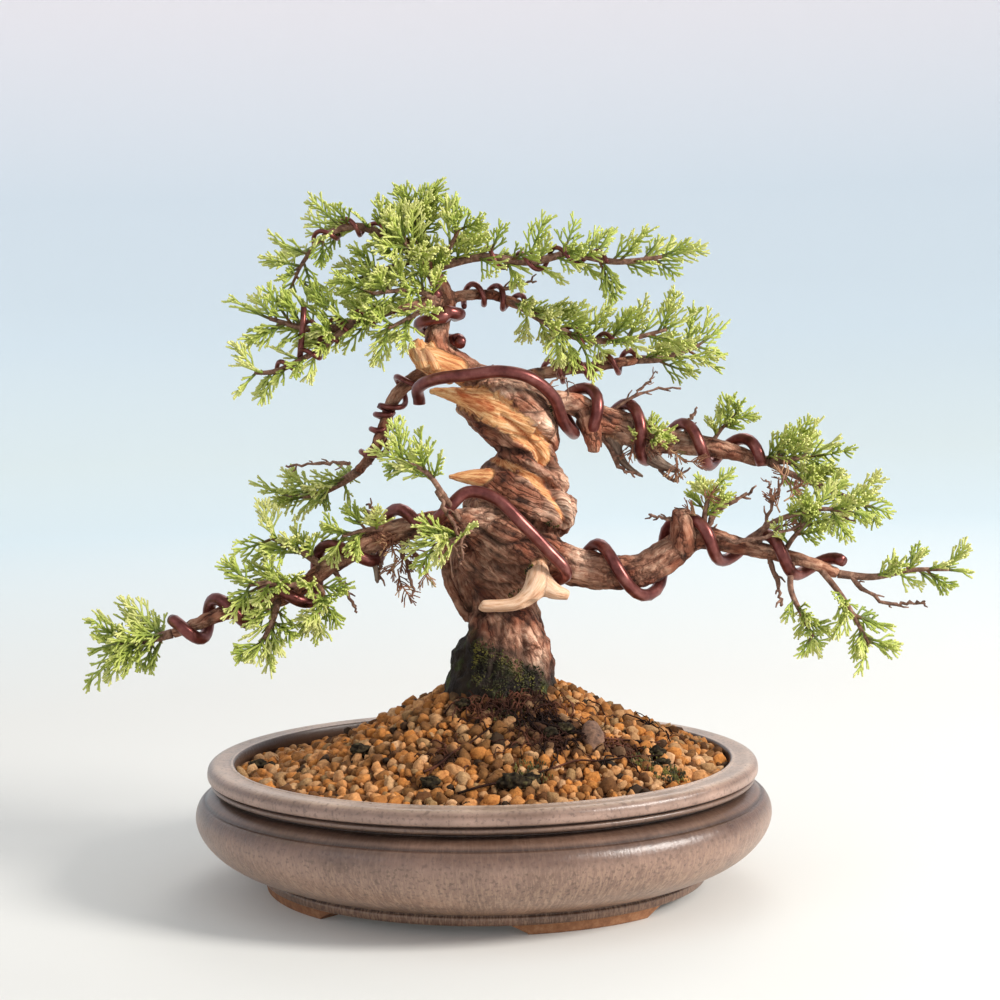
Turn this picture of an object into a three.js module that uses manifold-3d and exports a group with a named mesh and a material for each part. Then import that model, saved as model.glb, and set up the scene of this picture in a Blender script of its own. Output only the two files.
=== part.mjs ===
// A trained juniper in a shallow oval pot, in millimetres, +Z up, seen from -Y.
// The tree is one grown trunk whose wood twists like a rope, with wired branches
// that end in sprays of scale-leaf foliage. The origin is under the middle of the
// object, on the plane that the pot's four feet stand on.
import * as THREE from 'three';
import { mergeVertices } from 'three/addons/utils/BufferGeometryUtils.js';
import Module from 'manifold-3d';

const wasm = await Module();
wasm.setup();

// ---------------------------------------------------------------- driving dimensions
const POT_LENGTH = 240;            // across the belly of the pot, the long way
const POT_NARROWING = 12;          // how much less each half-width is than the half-length
const POT_TURN = -20;              // degrees, the pot's long axis against +X
const POT_SIDES = 30;
const POT_HEIGHT = 53;
const BASE_HEIGHT = 4;             // underside of the base ring, which the feet stand proud of
const FLOOR_TOP = 10;
const DRAIN_RADIUS = 11;
const DRAIN_OFFSET = 48;           // from the pot's middle, along its length
const FOOT_ANGLES = [45, 135, 225, 315];
const FOOT_HALF_SPAN = 22;         // degrees
const GAP = 0.4;                   // clear space between pieces that touch
const LIP_INSET = 17;              // from the belly's outside to the inside of the lip
const SOIL_EDGE = 48;              // height of the soil at the rim
const SOIL_RISE = 35;              // from the rim to the trunk
const GRAIN_SPACE = 6.5;           // between the lattice points of the soil's skin
const GRAIN_RELIEF = 1.6;          // how far every third point stands up, as a grain
const COLLAR_TOP = 86;             // the trunk is a plain cone up to here, in a plain hole
const THICK_WIRE = 5;
const THIN_WIRE = 2.4;
const STEPS_A_TURN = 7;

// ---------------------------------------------------------------- materials
const finish = (color, roughness, metalness = 0) =>
  new THREE.MeshStandardMaterial({ color, roughness, metalness });
const glaze = () => finish(0x7b6a5e, 0.45);
const grains = () => finish(0xb9783f, 0.95);
const bark = () => finish(0x8a6a55, 0.9);
const leaf = () => finish(0x86a544, 0.6);
const aluminium = () => finish(0x6f3f3a, 0.35, 0.6);
const netting = () => finish(0x2c3330, 0.7);
const stoneGrey = () => finish(0x8a6f55, 0.9);

// ---------------------------------------------------------------- solids
function solidOf(geometry) {
  const bare = geometry.clone();
  bare.deleteAttribute('normal');
  bare.deleteAttribute('uv');
  const merged = mergeVertices(bare, 1e-4);
  const indices = merged.index.array;
  const kept = [];
  for (let i = 0; i < indices.length; i += 3) {
    const [a, b, c] = [indices[i], indices[i + 1], indices[i + 2]];
    if (a !== b && b !== c && c !== a) kept.push(a, b, c);
  }
  const build = (triangles) => new wasm.Manifold(new wasm.Mesh({
    numProp: 3,
    vertProperties: new Float32Array(merged.attributes.position.array),
    triVerts: new Uint32Array(triangles),
  }));
  const solid = build(kept);
  if (solid.volume() > 0) return solid;
  for (let i = 0; i < kept.length; i += 3) [kept[i], kept[i + 1]] = [kept[i + 1], kept[i]];
  return build(kept);
}

function geometryOf(solid) {
  const mesh = solid.getMesh();
  const geometry = new THREE.BufferGeometry();
  geometry.setAttribute('position', new THREE.BufferAttribute(mesh.vertProperties, 3));
  geometry.setIndex(new THREE.BufferAttribute(mesh.triVerts, 1));
  return geometry;
}

const joined = (solids) => solids.reduce((whole, next) => whole.add(next));

// The largest connected body: loose scraps and sealed hollows are left behind.
function mainBody(solid) {
  return solid.decompose().reduce((best, next) => (next.volume() > best.volume() ? next : best));
}

// A closed skin through rings of equal count, with a fan over each end.
function loft(rings) {
  const sides = rings[0].length;
  const points = rings.flat();
  const faces = [];
  for (let k = 0; k + 1 < rings.length; k++) {
    for (let i = 0; i < sides; i++) {
      const a = k * sides + i;
      const b = k * sides + (i + 1) % sides;
      faces.push(a, b, a + sides, b, b + sides, a + sides);
    }
  }
  for (const [first, flip] of [[0, true], [(rings.length - 1) * sides, false]]) {
    for (let i = 1; i + 1 < sides; i++) {
      const [b, c] = flip ? [i + 1, i] : [i, i + 1];
      faces.push(first, first + b, first + c);
    }
  }
  const geometry = new THREE.BufferGeometry().setFromPoints(points);
  geometry.setIndex(faces);
  return geometry;
}

// ---------------------------------------------------------------- lines in space
// A smooth line through [x, y, z, radius] points, read at any share of its length.
function line(points) {
  const last = points.length - 1;
  const at = (i) => points[Math.min(Math.max(i, 0), last)];
  return (share) => {
    const place = Math.min(Math.max(share, 0), 1) * last;
    const k = Math.min(Math.floor(place), last - 1);
    const u = place - k;
    const [p, q, r, s] = [at(k - 1), at(k), at(k + 1), at(k + 2)];
    return q.map((_, n) => q[n] + 0.5 * u * (r[n] - p[n]
      + u * (2 * p[n] - 5 * q[n] + 4 * r[n] - s[n] + u * (3 * (q[n] - r[n]) + s[n] - p[n]))));
  };
}

// Direction of a line, and two directions square to it; the first leans to +Z.
function frameAt(read, share) {
  const a = new THREE.Vector3(...read(share - 0.02));
  const b = new THREE.Vector3(...read(share + 0.02));
  const along = b.sub(a).normalize();
  const upright = Math.abs(along.z) > 0.9 ? new THREE.Vector3(0, -1, 0) : new THREE.Vector3(0, 0, 1);
  const side = new THREE.Vector3().crossVectors(along, upright).normalize();
  const up = new THREE.Vector3().crossVectors(side, along);
  return { along, side, up };
}

// A limb of round section along a line, thickened by grow.
function limb(points, sides, grow = 0) {
  const read = line(points);
  const steps = points.length;
  let { side } = frameAt(read, 0);
  const rings = [];
  for (let k = 0; k <= steps; k++) {
    const share = k / steps;
    const { along } = frameAt(read, share);
    side = side.clone().addScaledVector(along, -side.dot(along)).normalize();
    const up = new THREE.Vector3().crossVectors(side, along);
    const [x, y, z, radius] = read(share);
    const ring = [];
    for (let i = 0; i < sides; i++) {
      const turn = 2 * Math.PI * i / sides;
      ring.push(new THREE.Vector3(x, y, z)
        .addScaledVector(side, (radius + grow) * Math.cos(turn))
        .addScaledVector(up, (radius + grow) * Math.sin(turn)));
    }
    rings.push(ring);
  }
  return solidOf(loft(rings));
}

// ---------------------------------------------------------------- pot
const R = POT_LENGTH / 2;
const OUTER_PROFILE = [
  [R - 37, 5.5], [R - 36, BASE_HEIGHT], [R - 27, BASE_HEIGHT], [R - 26.5, 8],
  [R - 15.5, 12.8], [R - 6.5, 18.6], [R - 1.3, 25], [R, 31], [R - 1, 35.6], [R - 3.6, 38],
  [R - 10.6, 41.4], [R - 10, 43.3], [R - 6.6, 44], [R - 7, 46], [R - 5, 47.5], [R - 5.6, 51],
  [R - 9.5, POT_HEIGHT],
];
const INNER_PROFILE = [
  [R - LIP_INSET + 1.2, POT_HEIGHT], [R - LIP_INSET, 50], [R - 15, 38], [R - 11, 29], [R - 16, 18],
  [R - 36, FLOOR_TOP],
];

// Half-width over half-length of the pot's oval; the middle of the floor is pressed alike.
const ovalShare = (radius) => (Math.max(radius, 60) - POT_NARROWING) / Math.max(radius, 60);

// A profile turned round +Z and pressed to an oval whose half-width falls short
// of its half-length by the same amount at every height.
function ovalTurned(profile) {
  const outline = profile.map(([r, z]) => new THREE.Vector2(r, z));
  const geometry = new THREE.LatheGeometry(outline, POT_SIDES);
  geometry.rotateX(Math.PI / 2);
  const place = geometry.attributes.position;
  for (let i = 0; i < place.count; i++) {
    const radius = Math.hypot(place.getX(i), place.getY(i));
    place.setY(i, place.getY(i) * ovalShare(radius));
  }
  geometry.rotateZ(THREE.MathUtils.degToRad(POT_TURN));
  return geometry;
}

function potPoint(angle, radius, z) {
  const a = THREE.MathUtils.degToRad(angle);
  return new THREE.Vector3(radius * Math.cos(a), radius * ovalShare(radius) * Math.sin(a), z)
    .applyAxisAngle(new THREE.Vector3(0, 0, 1), THREE.MathUtils.degToRad(POT_TURN));
}

// A low foot under the base ring, with ends that lean in towards the ground.
function foot(middle) {
  const rings = [];
  const cuts = 3;
  for (let k = 0; k <= cuts; k++) {
    const share = 2 * k / cuts - 1;
    const low = middle + (FOOT_HALF_SPAN - 5) * share;
    const high = middle + FOOT_HALF_SPAN * share;
    rings.push([potPoint(low, R - 38, 0), potPoint(low, R - 28.5, 0),
      potPoint(high, R - 27, BASE_HEIGHT + 1), potPoint(high, R - 38, BASE_HEIGHT + 2)]);
  }
  return solidOf(loft(rings));
}

function drainPlace(sign) {
  return potPoint(sign > 0 ? 0 : 180, DRAIN_OFFSET, 0);
}

function drainHole(sign) {
  const hole = new THREE.CylinderGeometry(DRAIN_RADIUS, DRAIN_RADIUS, 12, 20).rotateX(Math.PI / 2);
  const { x, y } = drainPlace(sign);
  return solidOf(hole.translate(x, y, 8));
}

function makePot() {
  const shell = solidOf(ovalTurned([[0, 5.5], ...OUTER_PROFILE, ...INNER_PROFILE, [0, FLOOR_TOP]]));
  const holes = joined([drainHole(1), drainHole(-1)]);
  return joined([shell, ...FOOT_ANGLES.map(foot)]).subtract(holes);
}

// A square of plastic netting over each drain hole: ribs that cross.
const NET_SIZE = 34;
const NET_THICK = 1.2;
const NET_RIB = 2.2;
const NET_OPENINGS = 2;
function makeNet(sign) {
  const { x, y } = drainPlace(sign);
  const ribs = [];
  const level = FLOOR_TOP + GAP + NET_THICK / 2;
  for (let i = 0; i <= NET_OPENINGS; i++) {
    const away = (i / NET_OPENINGS - 0.5) * (NET_SIZE - NET_RIB);
    const along = new THREE.BoxGeometry(NET_SIZE, NET_RIB, NET_THICK);
    const across = new THREE.BoxGeometry(NET_RIB, NET_SIZE, NET_THICK);
    ribs.push(solidOf(along.translate(x, y + away, level)));
    ribs.push(solidOf(across.translate(x + away, y, level)));
  }
  return joined(ribs);
}

// ---------------------------------------------------------------- soil
// A mound of fired clay grains that falls straight from the trunk to the rim. Its skin
// is a lattice of equal triangles, each third point raised like a grain, larger than life.
const SOIL_CLEAR = 1.1;            // between the soil's many-sided outline and the pot's
const MOUND_MIDDLE = [10, 3];
const SOIL_CURVE = 1.25;
const SOIL_TILT = 0.02;            // the soil stands a little higher at the front
const STONE_PLACE = [45, -37, 66];

function drawFrom(seed) {
  let state = seed >>> 0;
  return () => {
    state = (Math.imul(state, 1664525) + 1013904223) >>> 0;
    return state / 4294967296;
  };
}

function mound(x, y) {
  const away = Math.hypot(x - MOUND_MIDDLE[0], (y - MOUND_MIDDLE[1]) * 1.12);
  const share = THREE.MathUtils.clamp((R - 20 - away) / (R - 40), 0, 1);
  return SOIL_EDGE + SOIL_RISE * share ** SOIL_CURVE - SOIL_TILT * y;
}

function makeSoil() {
  const draw = drawFrom(11);
  const rowSpace = GRAIN_SPACE * Math.sqrt(3) / 2;
  const rows = 2 * Math.ceil(R / rowSpace);
  const columns = 2 * Math.ceil((R + rows * GRAIN_SPACE / 4) / GRAIN_SPACE);
  const chances = Array.from({ length: (columns + 1) * (rows + 1) }, () => [draw(), draw(), draw()]);
  const slab = new THREE.BoxGeometry(columns * GRAIN_SPACE, rows * rowSpace, 1, columns, rows, 1);
  const place = slab.attributes.position;
  for (let n = 0; n < place.count; n++) {
    const column = Math.round(place.getX(n) / GRAIN_SPACE + columns / 2);
    const row = Math.round(place.getY(n) / rowSpace + rows / 2);
    const [aside, ahead, up] = chances[row * (columns + 1) + column];
    const x = place.getX(n) + GRAIN_SPACE * (0.4 * (aside - 0.5) - (row - rows / 2) / 2);
    const y = place.getY(n) + GRAIN_SPACE * 0.4 * (ahead - 0.5);
    const relief = GRAIN_RELIEF * (0.6 + 0.8 * up) * ((column + row) % 3 ? -0.5 : 1);
    place.setXYZ(n, x, y, place.getZ(n) > 0 ? mound(x, y) + relief : 0);
  }
  const edge = R - LIP_INSET - SOIL_CLEAR;
  const sides = INNER_PROFILE.slice(2).map(([radius, z]) => [radius - SOIL_CLEAR, z + GAP]);
  const room = solidOf(ovalTurned([[0, FLOOR_TOP + GAP], ...sides.reverse(), [edge, SOIL_EDGE - GAP],
    [edge, 2 * SOIL_EDGE], [0, 2 * SOIL_EDGE]]));
  const netPockets = [1, -1].map((sign) => {
    const side = NET_SIZE + 2 * GAP;
    const { x, y } = drainPlace(sign);
    return solidOf(new THREE.BoxGeometry(side, side, 4 * NET_THICK).translate(x, y, FLOOR_TOP + GAP));
  });
  return solidOf(slab).intersect(room)
    .subtract(joined([twistedTrunk(GAP), makeStone(GAP), ...netPockets]));
}

// One larger flat stone that leans on the slope of the grains.
function makeStone(grow = 0) {
  const stone = new THREE.IcosahedronGeometry(1, 1);
  stone.scale(4.8 + grow, 7 + grow, 4 + grow).rotateX(0.8).rotateZ(0.3);
  return solidOf(stone.translate(...STONE_PLACE));
}

// ---------------------------------------------------------------- trunk and branches
// Height, middle and radius of the twisted trunk, from under the soil to its broad top.
const TRUNK_STATIONS = [
  [26, 8, 0, 17], [60, 8, 0, 25], [COLLAR_TOP, 9, 0, 22.5], [92, 10, 0, 20.5], [101, 11, 0, 18],
  [109, 12, 1, 15.2], [115, 11, 2, 14], [121, 13.5, 0, 16], [128, 14.7, -2, 20.7],
  [136, 14.6, -3, 22.5], [144, 16.5, -3, 23.3], [152, 18.5, -2, 23.4], [159, 19.5, -1, 22.5],
  [166, 19.7, 0, 19.2], [172, 20, 1, 15.8], [177, 22, 2, 14], [182, 21, 2, 15.2],
  [189, 17, 1, 18], [195, 14, 0, 20], [201, 13.7, 0, 19.5], [205.5, 14.5, 0, 15.5], [209, 16, 0, 6],
];
// Heights where one of the two deep grooves of the twist stands at the trunk's left side.
const GROOVE_AT_LEFT = [[209, -1.1], [205, -1], [177, 0], [162, 1], [146, 2], [118, 3], [90, 3.5]];
const TRUNK_SIDES = 12;
const FOOT_STEP = 4.5;             // between rings at the trunk's foot
const TWIST_STEP = 3.4;            // and where it twists
const TWIST_START = 108;
const FLATNESS = 0.95;             // depth of the trunk's section against its width
const GROOVE_DEPTH = 0.26;         // share of the radius
const FLUTE_DEPTH = 0.06;          // of the buttresses at the foot

function between(table, z, column) {
  const rising = table[0][0] < table[table.length - 1][0] ? table : [...table].reverse();
  let k = 0;
  while (k + 2 < rising.length && z > rising[k + 1][0]) k++;
  const share = THREE.MathUtils.clamp((z - rising[k][0]) / (rising[k + 1][0] - rising[k][0]), 0, 1);
  return rising[k][column] + share * (rising[k + 1][column] - rising[k][column]);
}

function trunkRing(z, grow) {
  const middle = [1, 2].map((column) => between(TRUNK_STATIONS, z, column));
  const radius = between(TRUNK_STATIONS, z, 3) + grow;
  const grooveTurn = Math.PI * (1 + between(GROOVE_AT_LEFT, z, 1));
  const twisted = THREE.MathUtils.smoothstep(z, TWIST_START, TWIST_START + 14);
  const fluted = THREE.MathUtils.smoothstep(z, COLLAR_TOP - 2, COLLAR_TOP + 8) * (1 - twisted);
  const ring = [];
  for (let i = 0; i < TRUNK_SIDES; i++) {
    const turn = -2 * Math.PI * i / TRUNK_SIDES;
    const groove = (1 - Math.abs(Math.sin(turn))) ** 2;
    const flute = Math.cos(4 * turn);
    const reach = radius * (1 - GROOVE_DEPTH * groove * twisted + FLUTE_DEPTH * flute * fluted);
    const angle = turn + grooveTurn;
    ring.push(new THREE.Vector3(middle[0] + reach * Math.cos(angle),
      middle[1] + FLATNESS * reach * Math.sin(angle), z));
  }
  return ring;
}

function twistedTrunk(grow = 0) {
  const heights = [TRUNK_STATIONS[0][0], TRUNK_STATIONS[1][0], COLLAR_TOP];
  const top = TRUNK_STATIONS[TRUNK_STATIONS.length - 1][0];
  for (let z = COLLAR_TOP + FOOT_STEP; z < TWIST_START; z += FOOT_STEP) heights.push(z);
  for (let z = TWIST_START; z < top - 1; z += TWIST_STEP) heights.push(z);
  heights.push(top);
  return solidOf(loft(heights.map((z) => trunkRing(z, grow))));
}

// Wood that grew from the trunk: [x, y, z, radius] from root to tip.
const LIMBS = {
  leader: [[14, 2, 201, 7], [-4, 3, 212, 6.2], [-13, 2, 221, 5.4], [-12, 2, 231, 4.2],
    [-9, 4, 240, 3.8], [-14, 5, 251, 3.4], [-18, 4, 260, 2.8], [-19, 3, 266, 2.2]],
  lowLeft: [[7, -14, 150, 6.5], [-14, -18, 151, 5.4], [-36, -21, 147, 4.8], [-56, -24, 137, 4],
    [-74, -28, 125, 3.3], [-97, -31, 119.5, 3.2], [-110, -33, 115, 2.6], [-120, -34, 111.5, 2.2]],
  lowRight: [[20, -6, 139, 9], [44, -12, 130, 7.8], [66, -13, 129, 7], [79, -12, 136, 6.8],
    [90, -12, 142, 5.3], [107, -13, 138, 3.7], [131, -15, 132, 2.8], [146, -16, 126, 2.2]],
  lowRightKnob: [[84, -13, 138, 6], [83, -18, 148, 4.8], [82, -20, 154, 3]],
  highRight: [[22, 6, 196, 6.4], [40, 13, 197, 4.8], [54, 17, 189, 6], [67, 19, 184, 7],
    [77, 20, 180, 5.6], [102, 21, 176, 4.2], [121, 23, 170, 2.8]],
  highRightKnob: [[48, 13, 190, 5.6], [50, 10, 181, 3.8], [50, 10, 176, 2.4]],
  splinterNear: [[69, 18, 179, 5.4], [77, 16, 171, 3], [86, 14, 167, 1.2]],
  splinterFar: [[58, 16, 182, 3], [63, 16, 171, 1.8], [71, 15, 165, 0.8]],
  middleRight: [[12, 16, 203, 4], [25, 26, 208, 2.8], [51, 34, 211, 2.5], [71, 39, 213.5, 2.2]],
  upperRight: [[-10, 4, 240, 2.8], [0, 7, 242, 2.3], [11, 11, 241.5, 2.1], [24, 14, 236, 1.9]],
  leftDescending: [[-8, 5, 214, 4], [-22, 8, 209, 3.2], [-32, 12, 200, 2.9], [-37, 16, 187, 2.6],
    [-42, 20, 177, 2.4], [-48, 24, 170, 2.2]],
  leftUpper: [[-12, 2, 240, 2.8], [-20, -8, 238.5, 2.2], [-29, -14, 237, 2]],
  tornStub: [[-6, 0, 211, 6.4], [-15, -4, 215, 6], [-21, -5, 219, 4.2], [-23, -6, 224, 1.6]],
  topJin: [[24, -7, 190, 9], [10, -12, 196, 7.4], [0, -13, 200, 4.8], [-9, -12, 202.4, 2.8],
    [-17, -11, 203.8, 1.2]],
  middleJin: [[6, -8, 167.5, 4.6], [-3, -10, 168.6, 2.8], [-10, -12, 169, 0.9]],
  lowJin: [[25, -20, 132, 4.4], [24.5, -27, 127, 5.2], [20.5, -30, 122, 4], [14, -31, 119, 2.9],
    [1, -30, 118.6, 2.5]],
  lowJinSpur: [[26, -26, 128, 4.4], [30, -28, 124, 3.8], [37, -27.5, 121.5, 2]],
  barkSlab: [[-4, -4, 153, 3.4], [-11.5, -2, 141, 2.4], [-12, 0, 129, 2.2], [-8.5, 2, 118, 2.2],
    [-3, 4, 109, 2.4]],
  slabBack: [[-1, 8, 148, 6], [-5, 8, 134, 5.5], [-4, 9, 121, 5], [0, 8, 109, 5.5]],
  stubsOnTop: [[10, 4, 203, 3], [9.5, 3, 209, 2], [9, 3, 214, 0.8]],
  lowLeftStub: [[-43, -22, 144, 2.2], [-40, -25, 136, 1.5], [-39, -26, 128, 1]],
  lowLeftStubUp: [[-38, -21, 147, 2], [-41, -22, 153, 1.4], [-43, -22, 158, 1]],
};
const sidesFor = (radius) => (radius > 4.5 ? 6 : 5);

function makeWood(grow = 0) {
  const limbs = Object.values(LIMBS).map((points) => limb(points, sidesFor(points[0][3]), grow));
  return joined([twistedTrunk(grow), ...limbs]);
}

// ---------------------------------------------------------------- training wire
// Wire wound round a limb, clear of its bark. tops are the places along one axis,
// from the limb's root outwards, where the wire comes over the top or the front of
// the limb on its way to the viewer; it starts and ends some turns before and after.
function winding(points, { axis = 0, tops, before = 0, after = 0, wire, away = 1.2 }) {
  const read = line(points);
  const pitch = (k) => tops[k + 1] - tops[k];
  const last = tops.length - 1;
  const turnsAt = (place) => {
    const way = Math.sign(pitch(0));
    let k = 0;
    while (k + 2 <= last && (place - tops[k + 1]) * way > 0) k++;
    return k + (place - tops[k]) / pitch(k);
  };
  const places = [];
  const samples = 400;
  let next = -before;
  for (let i = 0; i <= samples; i++) {
    const [x, y, z, radius] = read(i / samples);
    const turns = turnsAt([x, y, z][axis]);
    if (turns < next || turns > last + after) continue;
    next = turns + 1 / STEPS_A_TURN;
    const { side, up } = frameAt(read, i / samples);
    const reach = radius + wire / 2 + away;
    places.push(new THREE.Vector3(x, y, z)
      .addScaledVector(up, reach * Math.cos(2 * Math.PI * turns))
      .addScaledVector(side, reach * Math.sin(2 * Math.PI * turns)));
  }
  return places;
}

function wireSolid(places, diameter, grow = 0) {
  const sides = diameter > THIN_WIRE ? 6 : 5;
  const section = new THREE.Shape();
  for (let i = 0; i < sides; i++) {
    const turn = 2 * Math.PI * i / sides;
    const radius = diameter / 2 + grow;
    section[i ? 'lineTo' : 'moveTo'](radius * Math.cos(turn), radius * Math.sin(turn));
  }
  const path = new THREE.CatmullRomCurve3(places);
  const steps = places.length + 2;
  return solidOf(new THREE.ExtrudeGeometry(section, { steps, extrudePath: path, bevelEnabled: false }));
}

const at = (...xyz) => new THREE.Vector3(...xyz);
const WIRES = {
  // Holds the two lowest branches; it crosses the front of the trunk between them.
  wire_low: {
    diameter: THICK_WIRE,
    places: [
      ...winding(LIMBS.lowLeft, { tops: [-29, -56, -80, -101, -119], before: 0.3, after: 0,
        wire: THICK_WIRE }).reverse(),
      at(-10, -31, 158), at(-2, -30, 164), at(9, -31, 161), at(19, -32, 151),
      at(28, -30, 141), at(36, -27, 130),
      ...winding(LIMBS.lowRight, { tops: [49, 87, 117, 145], before: 0.5, after: 0.3,
        wire: THICK_WIRE }),
    ],
  },
  // Holds the upper right branch; it is anchored round the front of the trunk's top.
  wire_high: {
    diameter: THICK_WIRE,
    places: [
      at(-21, -5, 200), at(-21, -11, 205), at(-14, -19, 208.5), at(0, -22, 210), at(12, -23, 211),
      at(24, -21, 208), at(33, -15, 200), at(37, -7, 190), at(41, 3, 185), at(42, 14, 185),
      ...winding(LIMBS.highRight, { tops: [45, 62, 88, 113], before: 0.3, after: 0.4,
        wire: THICK_WIRE }),
    ],
  },
  // Bends the leader; it hooks round it above the torn stub.
  wire_leader: {
    diameter: THICK_WIRE,
    places: winding(LIMBS.leader, { axis: 2, tops: [218, 232, 244], before: 0.1, after: 0,
      wire: THICK_WIRE }),
  },
  wire_middle_right: {
    diameter: THIN_WIRE,
    places: winding(LIMBS.middleRight, { tops: [34, 43, 57, 68], before: 0.4, after: 0.2,
      wire: THIN_WIRE }),
  },
  wire_upper_right: {
    diameter: THIN_WIRE,
    places: winding(LIMBS.upperRight, { tops: [2, 11, 20], before: 0.5, after: 0.3,
      wire: THIN_WIRE }),
  },
  wire_left_descending: {
    diameter: THIN_WIRE,
    places: winding(LIMBS.leftDescending, { axis: 2, tops: [205, 195, 185, 175], before: 0.4,
      after: 0.3, wire: THIN_WIRE }),
  },
};
const wireShape = (spec, grow = 0) => wireSolid(spec.places, spec.diameter, grow);

// ---------------------------------------------------------------- foliage
// Each leafy stem goes on from the wood at its [x, y, z, radius] points and carries
// shoots, which spread round it by the golden angle and turn up a little. Every shoot
// is a slim core with scale-leaf fingers standing out of it on all sides.
const SPRAYS = {
  leaves_apex: { stem: [[-19, 3, 265, 2], [-20, 2, 270, 1.6], [-21, 0, 275, 0.9]],
    shoots: 6, reach: 14, lift: 0 },
  leaves_top_left: { stem: [[-18, 4, 257, 2], [-27, -1, 262, 1.8], [-42, -7, 270, 1.6],
    [-56, -10, 267, 1.3], [-65, -12, 257, 0.9], [-69, -12, 250, 0.6]], shoots: 8, reach: 13, lift: 0.4 },
  leaves_top_right: { stem: [[-14, 4, 253, 2], [5, 0, 257, 1.8], [25, -4, 254.5, 1.7], [41, -6, 257, 1.5],
    [60, -8, 253.5, 1.3], [78, -10, 255, 0.8]], shoots: 11, reach: 14, lift: 0.2 },
  leaves_left_upper: { stem: [[-29, -14, 237, 2], [-43, -21, 232.5, 1.8], [-59, -26, 229, 1.6],
    [-78, -30, 234, 0.8]], shoots: 9, reach: 16, lift: 0.25 },
  leaves_left_upper_low: { stem: [[-50, -26, 228.5, 1.4], [-58, -31, 222, 1.2], [-74, -35, 214, 1.1],
    [-84, -36, 213, 0.7]], shoots: 4, reach: 11, lift: 0 },
  leaves_left_descending: { stem: [[-48, 24, 170, 2], [-56, 28, 165, 1.8], [-67, 32, 160, 1.4],
    [-78, 36, 159, 0.8]], shoots: 6, reach: 14, lift: 0.1 },
  leaves_low_left_tip: { stem: [[-120, -34, 111.5, 2], [-129, -34, 109.5, 1.6], [-139, -34, 108, 0.9]],
    shoots: 8, reach: 18, lift: 0.1 },
  leaves_low_left_up: { stem: [[-60, -25, 135, 1.6], [-70, -29, 143, 1.3], [-80, -32, 148, 0.8]],
    shoots: 4, reach: 14, lift: 0.1 },
  leaves_low_left_front: { stem: [[-70, -28, 128, 1.6], [-78, -38, 131, 1.3], [-88, -43, 131, 0.8]],
    shoots: 4, reach: 14, lift: 0 },
  leaves_low_left_down: { stem: [[-78, -29, 124, 1.6], [-80, -40, 116, 1.3], [-84, -43, 108, 0.8]],
    shoots: 4, reach: 13, lift: -0.2 },
  leaves_trunk_sprout: { stem: [[-6, -27, 153, 1.4], [-11, -35, 162, 1.2], [-18, -43, 173, 1],
    [-28, -45, 178, 0.6]], shoots: 4, reach: 12, lift: 0.2, bare: 0.45 },
  leaves_trunk_front: { stem: [[-4, -20, 148, 1.4], [-6, -33, 146, 1.2], [-16, -38, 144, 0.7]],
    shoots: 3, reach: 13, lift: 0, bare: 0.3 },
  leaves_upper_right: { stem: [[24, 14, 236, 1.9], [34, 16, 229, 1.7], [47, 18, 223, 1.5],
    [64, 19, 222, 1.2], [82, 19, 226, 0.8]], shoots: 9, reach: 17, lift: 0.3 },
  leaves_middle_right: { stem: [[71, 39, 213.5, 2], [84, 42, 214, 1.6], [98, 44, 219, 0.9]],
    shoots: 5, reach: 15, lift: 0.15 },
  leaves_high_right: { stem: [[121, 23, 170, 2.4], [130, 22, 170, 1.8], [141, 21, 171, 0.9]],
    shoots: 6, reach: 17, lift: 0.25 },
  leaves_high_right_low: { stem: [[124, 20, 169, 1.4], [136, 12, 163, 1.3], [150, 6, 157, 1],
    [161, 3, 152, 0.6]], shoots: 5, reach: 13, lift: 0.1, bare: 0.25 },
  leaves_low_right_tip: { stem: [[146, -16, 126, 1.8], [160, -17, 124.5, 1.4], [176, -18, 127, 1],
    [190, -20, 127, 0.7]], shoots: 4, reach: 12, lift: 0.1, bare: 0.3 },
  leaves_low_right_hanging: { stem: [[128, -15, 132, 1.4], [126, -22, 121, 1.2], [131, -24, 109, 0.9],
    [134, -25, 102, 0.6]], shoots: 3, reach: 10, lift: -0.1, bare: 0.35 },
  leaves_low_right_fall: { stem: [[139, -16, 128, 1.4], [146, -24, 118, 1.2], [152, -26, 107, 0.9],
    [156, -27, 99, 0.6]], shoots: 4, reach: 13, lift: -0.2, bare: 0.2 },
  leaves_low_right_rise: { stem: [[108, -13, 138, 1.4], [120, -20, 148, 1.2], [136, -24, 153, 1],
    [148, -26, 152, 0.6]], shoots: 4, reach: 11, lift: 0.1, bare: 0.4 },
  leaves_low_right_sprig: { stem: [[92, -12, 142, 1.4], [93, -16, 153, 1.1], [95, -18, 162, 0.7]],
    shoots: 3, reach: 9, lift: 0.2, bare: 0.3 },
};
const UP = new THREE.Vector3(0, 0, 1);
const GOLDEN = Math.PI * (3 - Math.sqrt(5));
const STEM_SIDES = 5;
const SHOOT_LEAN = 0.9;            // radians between a stem and its shoots
const SHOOT_ROOT = 0.85;           // radius of a shoot's core where it leaves the stem
const SHOOT_SEGMENTS = 6;
const FIRST_BEARING = 2;           // from this segment on, two of the three faces bear fingers
const FINGER_LENGTH = 7;
const FINGER_LEAN = 0.8;

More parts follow.
